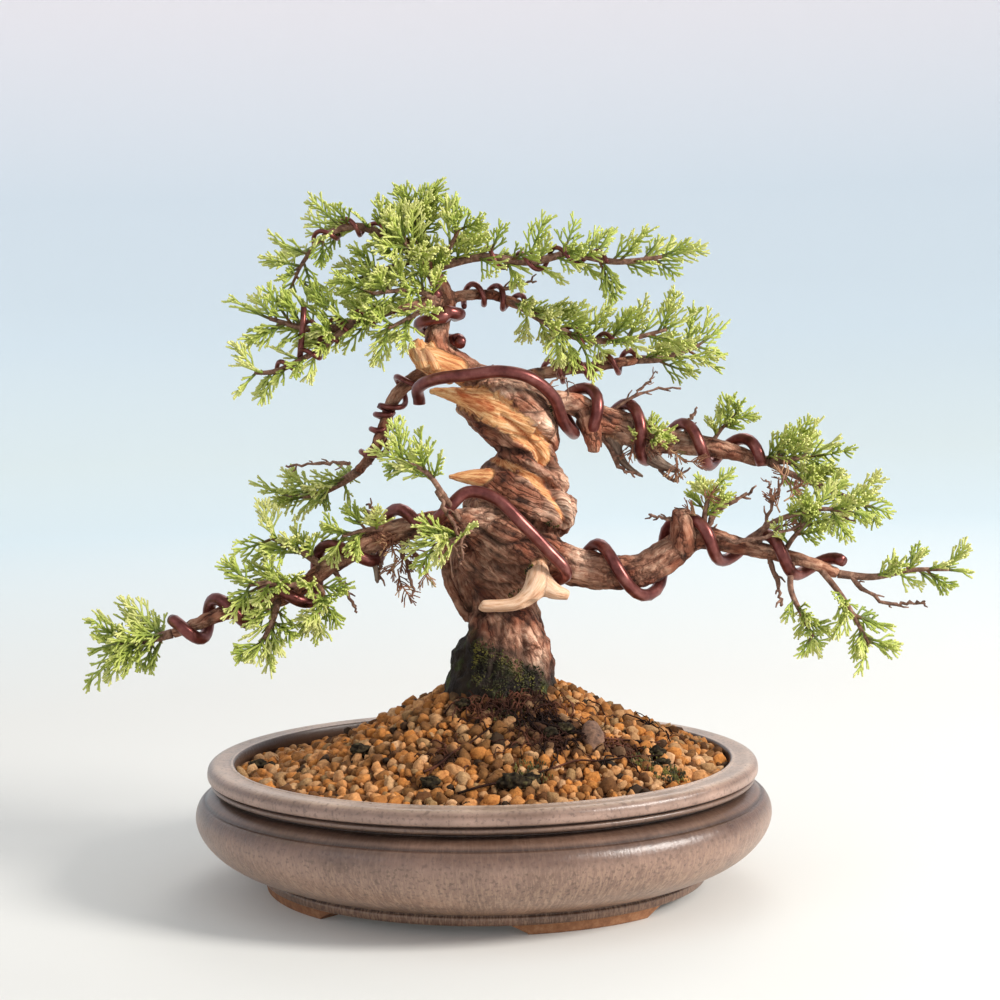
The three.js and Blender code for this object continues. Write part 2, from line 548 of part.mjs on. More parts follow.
// Where the shoots and fingers of a spray stand; one seeded draw for each spray.
function sprayPlan({ stem, shoots, reach, lift, bare = 0.08 }, seed) {
  const draw = drawFrom(seed);
  const read = line(stem);
  const plan = [];
  for (let j = 0; j < shoots; j++) {
    const share = bare + (1 - bare) * (j + 0.7) / shoots;
    const { along, side, up } = frameAt(read, Math.min(share, 1));
    const turn = GOLDEN * j + draw();
    const lean = share > 0.97 ? 0.2 : SHOOT_LEAN * (0.8 + 0.4 * draw());
    const way = along.clone().multiplyScalar(Math.cos(lean))
      .addScaledVector(side, Math.sin(lean) * Math.cos(turn))
      .addScaledVector(up, Math.sin(lean) * Math.sin(turn));
    way.z += lift;
    way.normalize();
    const length = reach * (0.8 + 0.45 * draw());
    const rise = 0.2 * length * (draw() - 0.3);
    const root = new THREE.Vector3(...read(share).slice(0, 3));
    const across = new THREE.Vector3().crossVectors(way, new THREE.Vector3(0.1, 0.2, 1)).normalize();
    const above = new THREE.Vector3().crossVectors(across, way);
    const spin = 2 * Math.PI * draw();
    const centres = [];
    for (let k = 0; k <= SHOOT_SEGMENTS; k++) {
      const u = k / SHOOT_SEGMENTS;
      centres.push(root.clone().addScaledVector(way, length * u).addScaledVector(UP, rise * u * u));
    }
    const fingers = [];
    for (let k = FIRST_BEARING; k < SHOOT_SEGMENTS; k++) {
      for (const face of [k % 3, (k + 1) % 3]) {
        const turned = spin + 2 * Math.PI * (face + 0.5) / 3;
        const out = FINGER_LENGTH * (1.15 - 0.08 * k) * (0.8 + 0.4 * draw());
        const tip = centres[k].clone().lerp(centres[Math.min(k + 1, SHOOT_SEGMENTS)], 0.5)
          .addScaledVector(way, out * Math.cos(FINGER_LEAN))
          .addScaledVector(across, out * Math.sin(FINGER_LEAN) * Math.cos(turned))
          .addScaledVector(above, out * Math.sin(FINGER_LEAN) * Math.sin(turned));
        fingers.push({ segment: k, face, tip });
      }
    }
    plan.push({ centres, across, above, spin, fingers });
  }
  return plan;
}

// One shoot: a slim three-sided core that starts from a point inside its stem and runs
// out to a point, each finger a spike drawn out of one of the core's own faces.
function shootSolid({ centres, across, above, spin, fingers }) {
  const last = SHOOT_SEGMENTS;
  const points = [centres[0]];
  for (let k = 1; k < last; k++) {
    const radius = SHOOT_ROOT * (1 - 0.5 * k / last);
    for (let i = 0; i < 3; i++) {
      const turn = spin + 2 * Math.PI * i / 3;
      points.push(centres[k].clone().addScaledVector(across, radius * Math.cos(turn))
        .addScaledVector(above, radius * Math.sin(turn)));
    }
  }
  points.push(centres[last]);
  const corner = (k, i) => (k === 0 ? 0 : k === last ? 3 * last - 2 : 3 * k - 2 + i % 3);
  const faces = [];
  for (let k = 0; k < last; k++) {
    for (let i = 0; i < 3; i++) {
      const loop = [...new Set([corner(k, i), corner(k, i + 1), corner(k + 1, i + 1), corner(k + 1, i)])];
      const finger = fingers.find(({ segment, face }) => segment === k && face === i);
      if (finger) {
        points.push(finger.tip);
        loop.forEach((one, n) => faces.push(one, loop[(n + 1) % loop.length], points.length - 1));
      } else {
        for (let n = 1; n + 1 < loop.length; n++) faces.push(loop[0], loop[n], loop[n + 1]);
      }
    }
  }
  const geometry = new THREE.BufferGeometry().setFromPoints(points);
  geometry.setIndex(faces);
  return solidOf(geometry);
}

function spraySolid(spec, plan) {
  return joined([limb(spec.stem, STEM_SIDES), ...plan.map(shootSolid)]);
}

// ---------------------------------------------------------------- the assembly
const tree = new THREE.Group();
function add(name, solid, material) {
  const mesh = new THREE.Mesh(geometryOf(solid), material);
  mesh.name = name;
  tree.add(mesh);
  return solid;
}

const apart = (one, other) => {
  const [a, b] = [one.boundingBox(), other.boundingBox()];
  return [0, 1, 2].some((n) => a.max[n] < b.min[n] || b.max[n] < a.min[n]);
};

// A solid and the space close round it, for a neighbour to keep clear of.
const swollen = (solid) => joined([solid, ...[-GAP, GAP].flatMap((d) =>
  [solid.translate(d, 0, 0), solid.translate(0, d, 0), solid.translate(0, 0, d)])]);

add('pot', makePot(), glaze());
add('drain_net_left', makeNet(-1), netting());
add('drain_net_right', makeNet(1), netting());
add('soil', mainBody(makeSoil()), grains());
add('stone', makeStone(), stoneGrey());
const wireRoom = joined(Object.values(WIRES).map((spec) => wireShape(spec, GAP)));
const woodRoom = makeWood(GAP);
add('trunk', mainBody(makeWood().subtract(wireRoom)), bark());
for (const [name, spec] of Object.entries(WIRES)) add(name, wireShape(spec), aluminium());
const placed = [];
Object.entries(SPRAYS).forEach(([name, spec], index) => {
  const whole = spraySolid(spec, sprayPlan(spec, 100 + index));
  const near = placed.filter((other) => !apart(other, whole)).map(swollen);
  const clear = [woodRoom, wireRoom, ...near].reduce((left, room) => left.subtract(room), whole);
  placed.push(add(name, mainBody(clear), leaf()));
});

const { min, max } = new THREE.Box3().setFromObject(tree);
for (const mesh of tree.children) mesh.position.set(-(min.x + max.x) / 2, -(min.y + max.y) / 2, -min.z);

export default tree;
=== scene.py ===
import math

import bmesh
import bpy
import numpy as np
from mathutils import Matrix, Vector, noise
from mathutils.kdtree import KDTree


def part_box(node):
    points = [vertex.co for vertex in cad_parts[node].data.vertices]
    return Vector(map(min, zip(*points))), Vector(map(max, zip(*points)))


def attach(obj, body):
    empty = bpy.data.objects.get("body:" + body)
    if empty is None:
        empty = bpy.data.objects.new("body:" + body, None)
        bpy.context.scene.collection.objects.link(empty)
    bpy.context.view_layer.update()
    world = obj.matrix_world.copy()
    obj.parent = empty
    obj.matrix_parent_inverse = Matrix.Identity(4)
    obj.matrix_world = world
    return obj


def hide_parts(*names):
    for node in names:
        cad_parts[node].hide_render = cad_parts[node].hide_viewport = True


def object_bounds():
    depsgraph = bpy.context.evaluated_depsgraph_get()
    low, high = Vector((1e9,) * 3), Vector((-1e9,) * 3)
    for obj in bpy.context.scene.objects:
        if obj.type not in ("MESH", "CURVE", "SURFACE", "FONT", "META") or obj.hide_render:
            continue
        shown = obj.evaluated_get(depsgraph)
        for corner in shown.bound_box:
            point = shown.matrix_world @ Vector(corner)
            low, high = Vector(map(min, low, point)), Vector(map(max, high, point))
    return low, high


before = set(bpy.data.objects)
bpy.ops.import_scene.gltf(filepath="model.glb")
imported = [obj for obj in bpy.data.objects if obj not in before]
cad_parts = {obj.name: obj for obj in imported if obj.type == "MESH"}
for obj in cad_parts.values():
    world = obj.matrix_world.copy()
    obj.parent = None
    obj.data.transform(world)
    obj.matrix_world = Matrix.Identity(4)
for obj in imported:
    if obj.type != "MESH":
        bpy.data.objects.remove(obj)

cad_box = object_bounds()

# ---------------------------------------------------------------- the photographer's camera
# It stands a little above the tree's middle, about 0.85 m in front of the pot, with a
# longish lens, tipped slightly down and turned a hair to the right. Places on the object
# are measured in millimetres from the middle of the pot, on the plane of its feet.
pot_low, pot_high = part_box("pot")
POT_X = (pot_low.x + pot_high.x) / 2
POT_Y = (pot_low.y + pot_high.y) / 2


def from_mm(points):
    """Places in millimetres from the pot's middle, as metres in the object's frame."""
    return np.asarray(points, float) / 1000 + (POT_X, POT_Y, 0)


def set_out(name, data):
    """An object of its own in the scene, made from a mesh, a lamp or a lens."""
    piece = bpy.data.objects.new(name, data)
    bpy.context.scene.collection.objects.link(piece)
    return piece


CAMERA_PLACE = (0, -850, 224.8)
PITCH, YAW, ROLL = math.radians(4.483), math.radians(0.725), math.radians(-1.438)
ahead = Vector((math.sin(YAW) * math.cos(PITCH), math.cos(YAW) * math.cos(PITCH), -math.sin(PITCH)))
level = Vector((math.cos(YAW), -math.sin(YAW), 0))
above = level.cross(ahead)
across = level * math.cos(ROLL) + above * math.sin(ROLL)
upward = above * math.cos(ROLL) - level * math.sin(ROLL)
lens = bpy.data.cameras.new("camera")
lens.lens, lens.sensor_width = 75.08, 36
camera = set_out("camera", lens)
camera.matrix_world = Matrix.Translation(Vector(from_mm(CAMERA_PLACE))) @ Matrix(
    (across, upward, -ahead)).transposed().to_4x4()
bpy.context.scene.camera = camera
bpy.context.scene.view_settings.view_transform = "Standard"


# ---------------------------------------------------------------- studio
# A plain pale floor that curves up into a pale backdrop all round, open to a white sky,
# with one broad soft lamp on the right, a weaker one on the left and one behind.
def once_round(count):
    """Evenly spaced angles once round, in radians."""
    return np.linspace(0, 2 * math.pi, count + 1)[:-1]


def flat_ring(x, y, z, radius, count):
    """Places in metres round a level circle."""
    return [(x + radius * math.cos(a), y + radius * math.sin(a), z) for a in once_round(count)]


def skin(name, rings, caps=True):
    """A mesh through rings of equal count, each joined to the next, with its ends closed or open."""
    count, last = len(rings[0]), len(rings) - 1
    faces = []
    for k in range(last):
        for i in range(count):
            a, b = k * count + i, k * count + (i + 1) % count
            faces.append((a, b, b + count, a + count))
    if caps:
        faces += [tuple(range(count))[::-1], tuple(range(last * count, (last + 1) * count))]
    mesh = bpy.data.meshes.new(name)
    mesh.from_pydata([tuple(p) for ring in rings for p in ring], [], faces)
    mesh.shade_smooth()
    return set_out(name, mesh)


class Recipe:
    """The node tree of a finish or of a scattered shape, and the steps that it is made with."""

    def __init__(self, tree):
        self.tree = tree

    def node(self, kind, inputs=None, **settings):
        """Outputs of a node whose inputs are set to numbers, or wired to other nodes' outputs."""
        made = self.tree.nodes.new(kind)
        for key, value in settings.items():
            setattr(made, key, value)
        for key, value in (inputs or {}).items():
            if isinstance(value, bpy.types.NodeSocket):
                self.tree.links.new(value, made.inputs[key])
            else:
                made.inputs[key].default_value = value
        return made.outputs

    def math(self, way, *numbers):
        return self.node("ShaderNodeMath", dict(enumerate(numbers)), operation=way)[0]

    def vector(self, way, *parts):
        outputs = self.node("ShaderNodeVectorMath", dict(zip((0, "Scale" if way == "SCALE" else 1), parts)),
                            operation=way)
        return outputs["Value" if way in ("LENGTH", "DISTANCE", "DOT_PRODUCT") else "Vector"]

    def spread(self, value, start=(0.0, 1.0), end=(0.0, 1.0)):
        """A value moved from one range to another, and kept inside it."""
        return self.node("ShaderNodeMapRange", {
            "Value": value, "From Min": start[0], "From Max": start[1],
            "To Min": end[0], "To Max": end[1]})[0]

    def cloud(self, place, scale, detail, output="Fac", **more):
        """Noise over a place; more sets its other inputs, such as Roughness."""
        return self.node("ShaderNodeTexNoise", {
            "Vector": place, "Scale": scale, "Detail": detail, **more})[output]

    def ramp(self, factor, *stops):
        """Colours, or greys told by one number, that follow a factor from low to high."""
        colours = self.node("ShaderNodeValToRGB", {"Fac": factor})["Color"]
        elements = colours.node.color_ramp.elements
        while len(elements) < len(stops):
            elements.new(0.5)
        for element, (place, colour) in zip(elements, stops):
            element.position = place
            element.color = (*(colour if isinstance(colour, tuple) else (colour,) * 3), 1)
        return colours

    def mixed(self, factor, first, second, way="MIX"):
        """One colour laid over another."""
        return self.node("ShaderNodeMix", {0: factor, 6: first, 7: second},
                         data_type="RGBA", blend_type=way)[2]

    def tinted(self, strength, colour, factor, *stops):
        """A colour multiplied by a ramp."""
        return self.mixed(strength, colour, self.ramp(factor, *stops), "MULTIPLY")

    def named(self, name, output="Fac"):
        """What was painted on the points of the piece under a name."""
        return self.node("ShaderNodeAttribute", attribute_name=name)[output]


class Finish(Recipe):
    """A material with its shader, and the numbers that are the same all over."""

    def __init__(self, name, **numbers):
        self.material = bpy.data.materials.new(name)
        self.material.use_nodes = True
        super().__init__(self.material.node_tree)
        self.shader = self.tree.nodes["Principled BSDF"]
        for key, value in numbers.items():
            self.shader.inputs[key.replace("_", " ")].default_value = value
        self.place = self.node("ShaderNodeTexCoord")["Object"]

    def put(self, key, value):
        self.tree.links.new(value, self.shader.inputs[key])

    def relief(self, height, strength, distance):
        """Roughness too fine to be shaped."""
        self.put("Normal", self.node("ShaderNodeBump", {
            "Height": height, "Strength": strength, "Distance": distance})[0])


STUDIO_SWEEP = [(0.02, 0), (0.9, 0), (1.7, 0), (2.1, 0.06), (2.5, 0.3), (2.75, 0.8), (2.85, 1.6), (2.9, 2.6)]
studio = skin("studio", [flat_ring(0, 0, z, r, 96) for r, z in STUDIO_SWEEP[::-1]], caps=False)
paper = Finish("studio_paper", Roughness=0.9, Emission_Strength=0.08)
outward = paper.vector("LENGTH", paper.vector("MULTIPLY", paper.place, (1.0, 1.0, 0.0)))
height = paper.node("ShaderNodeSeparateXYZ", {0: paper.place})["Z"]
paper_colour = paper.ramp(
    paper.math("MULTIPLY_ADD", outward, 0.06, height),
    (0.03, (0.66, 0.655, 0.625)), (0.1, (0.735, 0.845, 0.875)), (0.186, (0.77, 0.86, 0.86)),
    (0.37, (0.71, 0.81, 0.865)), (0.61, (0.69, 0.765, 0.825)), (0.95, (0.85, 0.81, 0.835)))
paper.put("Base Color", paper_colour)
paper.put("Emission Color", paper_colour)
studio.data.materials.append(paper.material)

world = bpy.data.worlds.new("studio_sky")
world.use_nodes = True
sky = world.node_tree.nodes["Background"].inputs
sky["Color"].default_value, sky["Strength"].default_value = (0.93, 0.97, 1, 1), 0.68
bpy.context.scene.world = world

LAMPS = [  # place in metres, size, power in watts, colour
    ((1.3, -0.6, 0.9), 0.5, 34, (1, 0.965, 0.92)),
    ((-1.2, -0.8, 1.0), 0.9, 1.6, (0.93, 0.96, 1)),
    ((0.3, 1.2, 1.3), 0.9, 6, (1, 0.98, 0.95)),
]
LAMPS_AIM = Vector((0, 0, 0.15))
for index, (place, size, power, colour) in enumerate(LAMPS):
    lamp = bpy.data.lights.new(f"softbox_{index}", "AREA")
    lamp.shape, lamp.size, lamp.energy, lamp.color = "DISK", size, power, colour
    softbox = set_out(f"softbox_{index}", lamp)
    softbox.location = place
    softbox.rotation_euler = (LAMPS_AIM - Vector(place)).to_track_quat("-Z", "Y").to_euler()

# ---------------------------------------------------------------- pot
# One piece of stoneware, pressed to an oval: a wide rim over two belts, a neck, a full
# belly and a base ring. The glaze is a matt grey-brown that runs off the edges, where it
# fires lighter and is also painted pale as highlight, and that gathers dark in the grooves,
# where the dark is painted shade; two drain holes go through the floor.
POT_TURN = math.radians(-20)
POT_NARROWING = 12
ROUND_BELOW = 60                   # inside this radius the floor narrows in proportion
R = 119.4                          # half the pot's length
POT_PROFILE = [  # radius and height, up the outside and down the inside
    (60, 6.2), (R - 40, 6.2), (R - 37.5, 5.6), (R - 36.6, 4.4), (R - 35.8, 4), (R - 31, 4), (R - 27.6, 4),
    (R - 26.8, 4.4), (R - 26.5, 5.4), (R - 26.4, 7), (R - 26.9, 7.6), (R - 27, 8), (R - 26.2, 8.5),
    (R - 21, 10.4), (R - 15.5, 12.9), (R - 10.6, 15.7), (R - 6.6, 18.8), (R - 3.5, 22.2), (R - 1.4, 25.5),
    (R - 0.2, 28.8), (R + 0.1, 31.4), (R - 0.3, 34), (R - 1.4, 36.4), (R - 2.8, 37.9), (R - 3.8, 38.1),
    (R - 4.4, 38.7), (R - 6.2, 40.4), (R - 8.6, 41.6), (R - 10.4, 42), (R - 10.9, 42.5), (R - 10.4, 43.1),
    (R - 9, 43.5), (R - 7.6, 43.7), (R - 6.7, 44.3), (R - 6.5, 45.3), (R - 7.1, 46), (R - 7.7, 46.3),
    (R - 7.2, 46.7), (R - 5.7, 47.1), (R - 5.2, 47.9), (R - 5.2, 49.4), (R - 5.6, 51), (R - 6.6, 52.1),
    (R - 8.2, 52.7), (R - 10, 52.7), (R - 12.2, 52.5), (R - 14.2, 52.5), (R - 14.9, 52.8), (R - 15.6, 52.8),
    (R - 16.3, 52.2), (R - 16.8, 50.4), (R - 16.9, 48), (R - 15.8, 42), (R - 13.6, 35.5), (R - 11.6, 29),
    (R - 12.6, 23.5), (R - 16.6, 18), (R - 24, 13.4), (R - 36, 10.6), (60, 10.2),
]
POT_HEIGHT = 0.053                 # in metres, for the bands of the glaze
HOLES_OUT, HOLE_RADIUS = 48, 11


def on_line(points, place):
    """A smooth line through points, read at places counted in stretches from its start."""
    points = np.asarray(points, float)
    last = len(points) - 1
    k = np.minimum(place.astype(int), last - 1)
    u = (place - k)[:, None]
    p, q, r, s = (points[np.clip(k + d, 0, last)] for d in (-1, 0, 1, 2))
    return q + 0.5 * u * (r - p + u * (2 * p - 5 * q + 4 * r - s + u * (3 * (q - r) + s - p)))


def through(points, steps):
    """Points on a smooth line through the given ones, steps to each stretch."""
    return on_line(points, np.arange((len(points) - 1) * steps + 1) / steps)


def pot_place(angle, radius, z):
    """A place on the pot by its angle in radians and its radius along the oval's length."""
    narrow = radius * (max(radius, ROUND_BELOW) - POT_NARROWING) / max(radius, ROUND_BELOW)
    x, y = radius * math.cos(angle), narrow * math.sin(angle)
    c, s = math.cos(POT_TURN), math.sin(POT_TURN)
    return from_mm((x * c - y * s, x * s + y * c, z))


def pot_rings(profile, count):
    """Oval rings round the pot at each radius and height of a profile."""
    return [[pot_place(a, r, z) for a in once_round(count)] for r, z in profile]


def plain(name, source, *spare):
    """The evaluated object as a plain mesh of its own; what made it is removed."""
    mesh = bpy.data.meshes.new_from_object(source.evaluated_get(bpy.context.evaluated_depsgraph_get()))
    for used in (source, *spare):
        bpy.data.objects.remove(used)
    return set_out(name, mesh)


pot_body = skin("pot_body", pot_rings(through(POT_PROFILE, 3), 192))
plugs = []
for angle in (0, math.pi):
    hole_x, hole_y, _ = pot_place(angle, HOLES_OUT, 0)
    plugs.append(skin("plug", [flat_ring(hole_x, hole_y, z, HOLE_RADIUS / 1000, 48) for z in (-0.01, 0.03)]))
    cut = pot_body.modifiers.new("hole", "BOOLEAN")
    cut.object, cut.operation, cut.solver = plugs[-1], "DIFFERENCE", "EXACT"
pot_body = plain("pot_glazed_body", pot_body, *plugs)

# The glaze reads its bands from the height, and its runs from the direction round the pot.
# The bands paint highlight on the ridges and the rim top, and shade in the grooves.
glaze = Finish("stoneware_glaze", Specular_IOR_Level=0.6)
centred = glaze.vector("SUBTRACT", glaze.place, (POT_X, POT_Y, 0))
split = glaze.node("ShaderNodeSeparateXYZ", {0: centred})
around = glaze.vector("NORMALIZE", glaze.node("ShaderNodeCombineXYZ", {"X": split["X"], "Y": split["Y"]})[0])
band = glaze.spread(split["Z"], (0.0, POT_HEIGHT))
# Painted shade in the grooves, painted highlight on the ridges and the rim top.
PAINTED_GROOVE_SHADE, BODY, PALE_RIM_AND_HIGHLIGHT = (0.03, 0.013, 0.008), (0.2, 0.105, 0.065), (0.4, 0.29, 0.22)
bands = glaze.ramp(
    band, (0.07, (0.11, 0.052, 0.03)), (0.13, BODY), (0.147, PAINTED_GROOVE_SHADE), (0.165, (0.22, 0.123, 0.08)),
    (0.34, (0.285, 0.165, 0.112)), (0.5, (0.28, 0.172, 0.128)), (0.6, (0.235, 0.142, 0.104)),
    (0.69, (0.115, 0.06, 0.04)), (0.714, (0.12, 0.066, 0.045)), (0.724, PAINTED_GROOVE_SHADE), (0.745, (0.15, 0.08, 0.052)),
    (0.78, (0.085, 0.045, 0.03)), (0.8, PAINTED_GROOVE_SHADE), (0.825, (0.09, 0.05, 0.035)), (0.855, (0.2, 0.12, 0.085)),
    (0.873, (0.04, 0.02, 0.013)), (0.892, (0.33, 0.208, 0.158)), (0.93, (0.34, 0.22, 0.17)),
    (0.96, (0.2, 0.12, 0.085)), (0.975, (0.25, 0.16, 0.12)), (0.995, PALE_RIM_AND_HIGHLIGHT))
cloud = glaze.cloud(centred, 42.0, 6.0, Roughness=0.65)
mottled = glaze.tinted(0.8, bands, cloud, (0.3, (0.6, 0.56, 0.54)), (0.5, 1), (0.68, 1.35))
drawn_down = glaze.node("ShaderNodeCombineXYZ", {"Z": glaze.math("MULTIPLY", split["Z"], 2.2)})[0]
runs = glaze.cloud(glaze.vector("ADD", around, drawn_down), 105.0, 5.0, Roughness=0.72)
low_belly = glaze.ramp(band, (0.15, 0.55), (0.3, 1), (0.5, 0.6), (0.64, 0.12), (0.86, 0.06))
run_mask = glaze.math("MULTIPLY", glaze.ramp(runs, (0.46, 0), (0.6, 1)), low_belly)
streaked = glaze.mixed(glaze.math("MULTIPLY", run_mask, 0.75), mottled, (0.52, 0.34, 0.23, 1))
specks = glaze.ramp(glaze.cloud(centred, 700.0, 3.0), (0.53, 0), (0.68, 1))
speckled = glaze.mixed(glaze.math("MULTIPLY", specks, 0.5), streaked, (0.07, 0.04, 0.03, 1))
# Inside, the clay is bare, and its wall is painted darker still as shade.
towards_middle = glaze.vector("DOT_PRODUCT", glaze.node("ShaderNodeNewGeometry")["Normal"], around)
bare_and_shaded_inside = glaze.spread(towards_middle, (-0.3, -0.6))
glaze.put("Base Color", glaze.mixed(bare_and_shaded_inside, speckled, (0.07, 0.038, 0.025, 1)))
glaze.put("Roughness", glaze.spread(cloud, end=(0.2, 0.44)))
glaze.relief(glaze.math("ADD", glaze.cloud(centred, 420.0, 4.0), runs), 0.25, 0.0006)
pot_body.data.materials.clear()
pot_body.data.materials.append(glaze.material)
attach(pot_body, "root")
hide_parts("pot")


# ---------------------------------------------------------------- feet
# Four low feet under the base ring, with ends cut in towards the ground. They are left
# bare of glaze, so the fired clay shows its own sandy brown.
def speckled_finish(name, scale, detail, stops, fine=0.5, gloss=None, relief=None, **numbers):
    """A material whose colour follows one noise, and its roughness and relief too where given."""
    made = Finish(name, **numbers)
    specks = made.cloud(made.place, scale, detail, Roughness=fine)
    made.put("Base Color", made.ramp(specks, *stops))
    if gloss:
        made.put("Roughness", made.spread(specks, end=gloss))
    if relief:
        made.relief(specks, *relief)
    return made.material


def shaped(name, shape, *materials, smooth=False):
    """A piece of its own from an edited shape."""
    mesh = bpy.data.meshes.new(name)
    shape.to_mesh(mesh)
    shape.free()
    if smooth:
        mesh.shade_smooth()
    for material in materials:
        mesh.materials.append(material)
    return set_out(name, mesh)


FOOT_ANGLES = (45, 135, 225, 315)
FOOT_SPANS = (17, 21.6)            # half the length of a foot in degrees, on the ground and at the ring
feet = bmesh.new()
for middle in FOOT_ANGLES:
    rings = []
    for share in np.linspace(-1, 1, 25):
        low, high = (math.radians(middle + span * share) for span in FOOT_SPANS)
        rings.append([feet.verts.new(p) for p in (
            pot_place(low, R - 37, 0), pot_place(low, R - 28.6, 0), pot_place(low, R - 28.1, 0.5),
            pot_place(high, R - 27.2, 4.4), pot_place(high, R - 37.4, 4.6), pot_place(low, R - 37.4, 0.5))])
    for one, other in zip(rings, rings[1:]):
        for i in range(len(one)):
            after = (i + 1) % len(one)
            feet.faces.new((one[i], one[after], other[after], other[i]))
    feet.faces.new(rings[0][::-1])
    feet.faces.new(rings[-1])
bmesh.ops.recalc_face_normals(feet, faces=feet.faces)
pot_feet = shaped("pot_feet", feet, speckled_finish(
    "bare_fired_clay", 260.0, 6.0, [(0.3, (0.16, 0.065, 0.03)), (0.52, (0.31, 0.135, 0.06)),
                                    (0.7, (0.43, 0.22, 0.11))],
    fine=0.7, relief=(0.5, 0.0006), Roughness=0.85))
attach(pot_feet, "root")
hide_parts("pot")

# ---------------------------------------------------------------- drain nets
# A square of black plastic netting lies over each drain hole, under the soil, and keeps
# the grains in. Moulded crossing ribs, a little rough from handling.
netting = speckled_finish("drain_netting", 150.0, 5.0, [(0.4, (0.012, 0.013, 0.012)),
                                                        (0.7, (0.09, 0.06, 0.035))],
                          Roughness=0.6)
for name in ("drain_net_left", "drain_net_right"):
    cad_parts[name].data.materials.clear()
    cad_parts[name].data.materials.append(netting)

# ---------------------------------------------------------------- soil
# Fired clay grains of 3 to 5 mm, heaped from the rim to the trunk, orange-brown to olive
# with a few black lumps. Loose grains lie over a bed of the same clay, coloured much darker
# as painted shade in the gaps between them; the soil is dark and wet round the foot of the tree.
MOUND_X, MOUND_Y = 10, 3
SOIL_RIM = R - 17.7
SOIL_AROUND = 120
BED_DEPTH, SPREAD_DEPTH = 1.6, 0.9  # under the mound's height, for the bed and for the loose grains


def mound(x, y):
    """Height of the soil, in millimetres."""
    away = np.hypot(x - MOUND_X, (y - MOUND_Y) * 1.12)
    return 48 + 35 * np.clip((100 - away) / 80, 0, 1) ** 1.25 - 0.02 * y


def soil_ring(radius, lower):
    ring = []
    for angle in once_round(SOIL_AROUND):
        point = pot_place(angle, radius, 0)
        x, y = (point[0] - POT_X) * 1000, (point[1] - POT_Y) * 1000
        ring.append((point[0], point[1], (mound(x, y) - lower) / 1000))
    return ring


def recipe_of(name, kind, takes, gives):
    """A recipe that can be used again, with what it takes and gives, and its inputs."""
    tree = bpy.data.node_groups.new(name, kind)
    for side, sockets in (("INPUT", takes), ("OUTPUT", gives)):
        for label, socket in sockets.items():
            tree.interface.new_socket(label, in_out=side, socket_type="NodeSocket" + socket)
    made = Recipe(tree)
    return made, made.node("NodeGroupInput")


def gives_pieces(recipe, pieces, material):
    """Ends a recipe: its pieces become one smooth mesh of a material."""
    real = recipe.node("GeometryNodeRealizeInstances", {"Geometry": pieces})[0]
    smooth = recipe.node("GeometryNodeSetShadeSmooth", {"Geometry": real, "Shade Smooth": True})[0]
    recipe.node("NodeGroupOutput", {0: recipe.node("GeometryNodeSetMaterial", {
        "Geometry": smooth, "Material": material})[0]})


def grown_from(name, carrier, recipe, **numbers):
    """What a recipe makes on a carrier mesh, as a plain mesh."""
    step = carrier.modifiers.new(recipe.tree.name, "NODES")
    step.node_group = recipe.tree
    for item in recipe.tree.interface.items_tree:
        if item.name in numbers:
            step[item.identifier] = numbers[item.name]
    return plain(name, carrier)


bed_rings = [soil_ring(r, BED_DEPTH) for r in np.linspace(0.3, SOIL_RIM, 44)]
bed_rings += pot_rings(((R - 17.6, 42), (R - 13.4, 30), (R - 18, 19), (R - 37, 12), (0.3, 12)), SOIL_AROUND)
soil_bed = skin("soil_bed", bed_rings[::-1])
grain_spread = skin("grain_spread", [
    soil_ring(r, SPREAD_DEPTH) for r in np.linspace(18, SOIL_RIM - 1.2, 30)][::-1], caps=False)

GRAIN_SHAPES = 7
scatter, given = recipe_of("clay_grains", "GeometryNodeTree", {
    "Geometry": "Geometry", "Spacing": "Float", "Smallest": "Float", "Largest": "Float", "Lift": "Float",
    "Seed": "Int", "Material": "Material"}, {"Geometry": "Geometry"})


def by_chance(kind, low, high, seed):
    """A value between two others, drawn for each grain."""
    first, output = {"FLOAT_VECTOR": (0, 0), "FLOAT": (2, 1), "INT": (4, 2)}[kind]
    return scatter.node("FunctionNodeRandomValue", {first: low, first + 1: high, "Seed": seed},
                        data_type=kind)[output]


points = scatter.node("GeometryNodeDistributePointsOnFaces", {
    "Mesh": given["Geometry"], "Distance Min": given["Spacing"], "Density Max": 400000.0,
    "Seed": given["Seed"]}, distribute_method="POISSON")["Points"]
kinds = scatter.node("GeometryNodeJoinGeometry")[0]
for kind in range(GRAIN_SHAPES):
    lump = scatter.node("GeometryNodeMeshIcoSphere", {"Radius": 1.0, "Subdivisions": 2})["Mesh"]
    where = scatter.node("GeometryNodeInputPosition")[0]
    rough = scatter.node("ShaderNodeTexNoise", {
        "Vector": where, "W": 3.7 * kind, "Scale": 0.8, "Detail": 2.0}, noise_dimensions="4D")["Color"]
    shift = scatter.vector("SCALE", scatter.vector("ADD", rough, (-0.5, -0.5, -0.5)), 1.7)
    lumpy = scatter.node("GeometryNodeSetPosition", {
        "Geometry": lump, "Position": scatter.vector("ADD", where, shift)})[0]
    scatter.tree.links.new(scatter.node("GeometryNodeGeometryToInstance", {"Geometry": lumpy})[0],
                           kinds.node.inputs[0])
lift = scatter.math("MULTIPLY", by_chance("FLOAT", -1.0, 1.0, 12), given["Lift"])
lifted = scatter.node("GeometryNodeSetPosition", {
    "Geometry": points, "Offset": scatter.node("ShaderNodeCombineXYZ", {"Z": lift})[0]})[0]
squeeze = by_chance("FLOAT_VECTOR", (0.65, 0.65, 0.65), (1.25, 1.25, 1.25), 8)
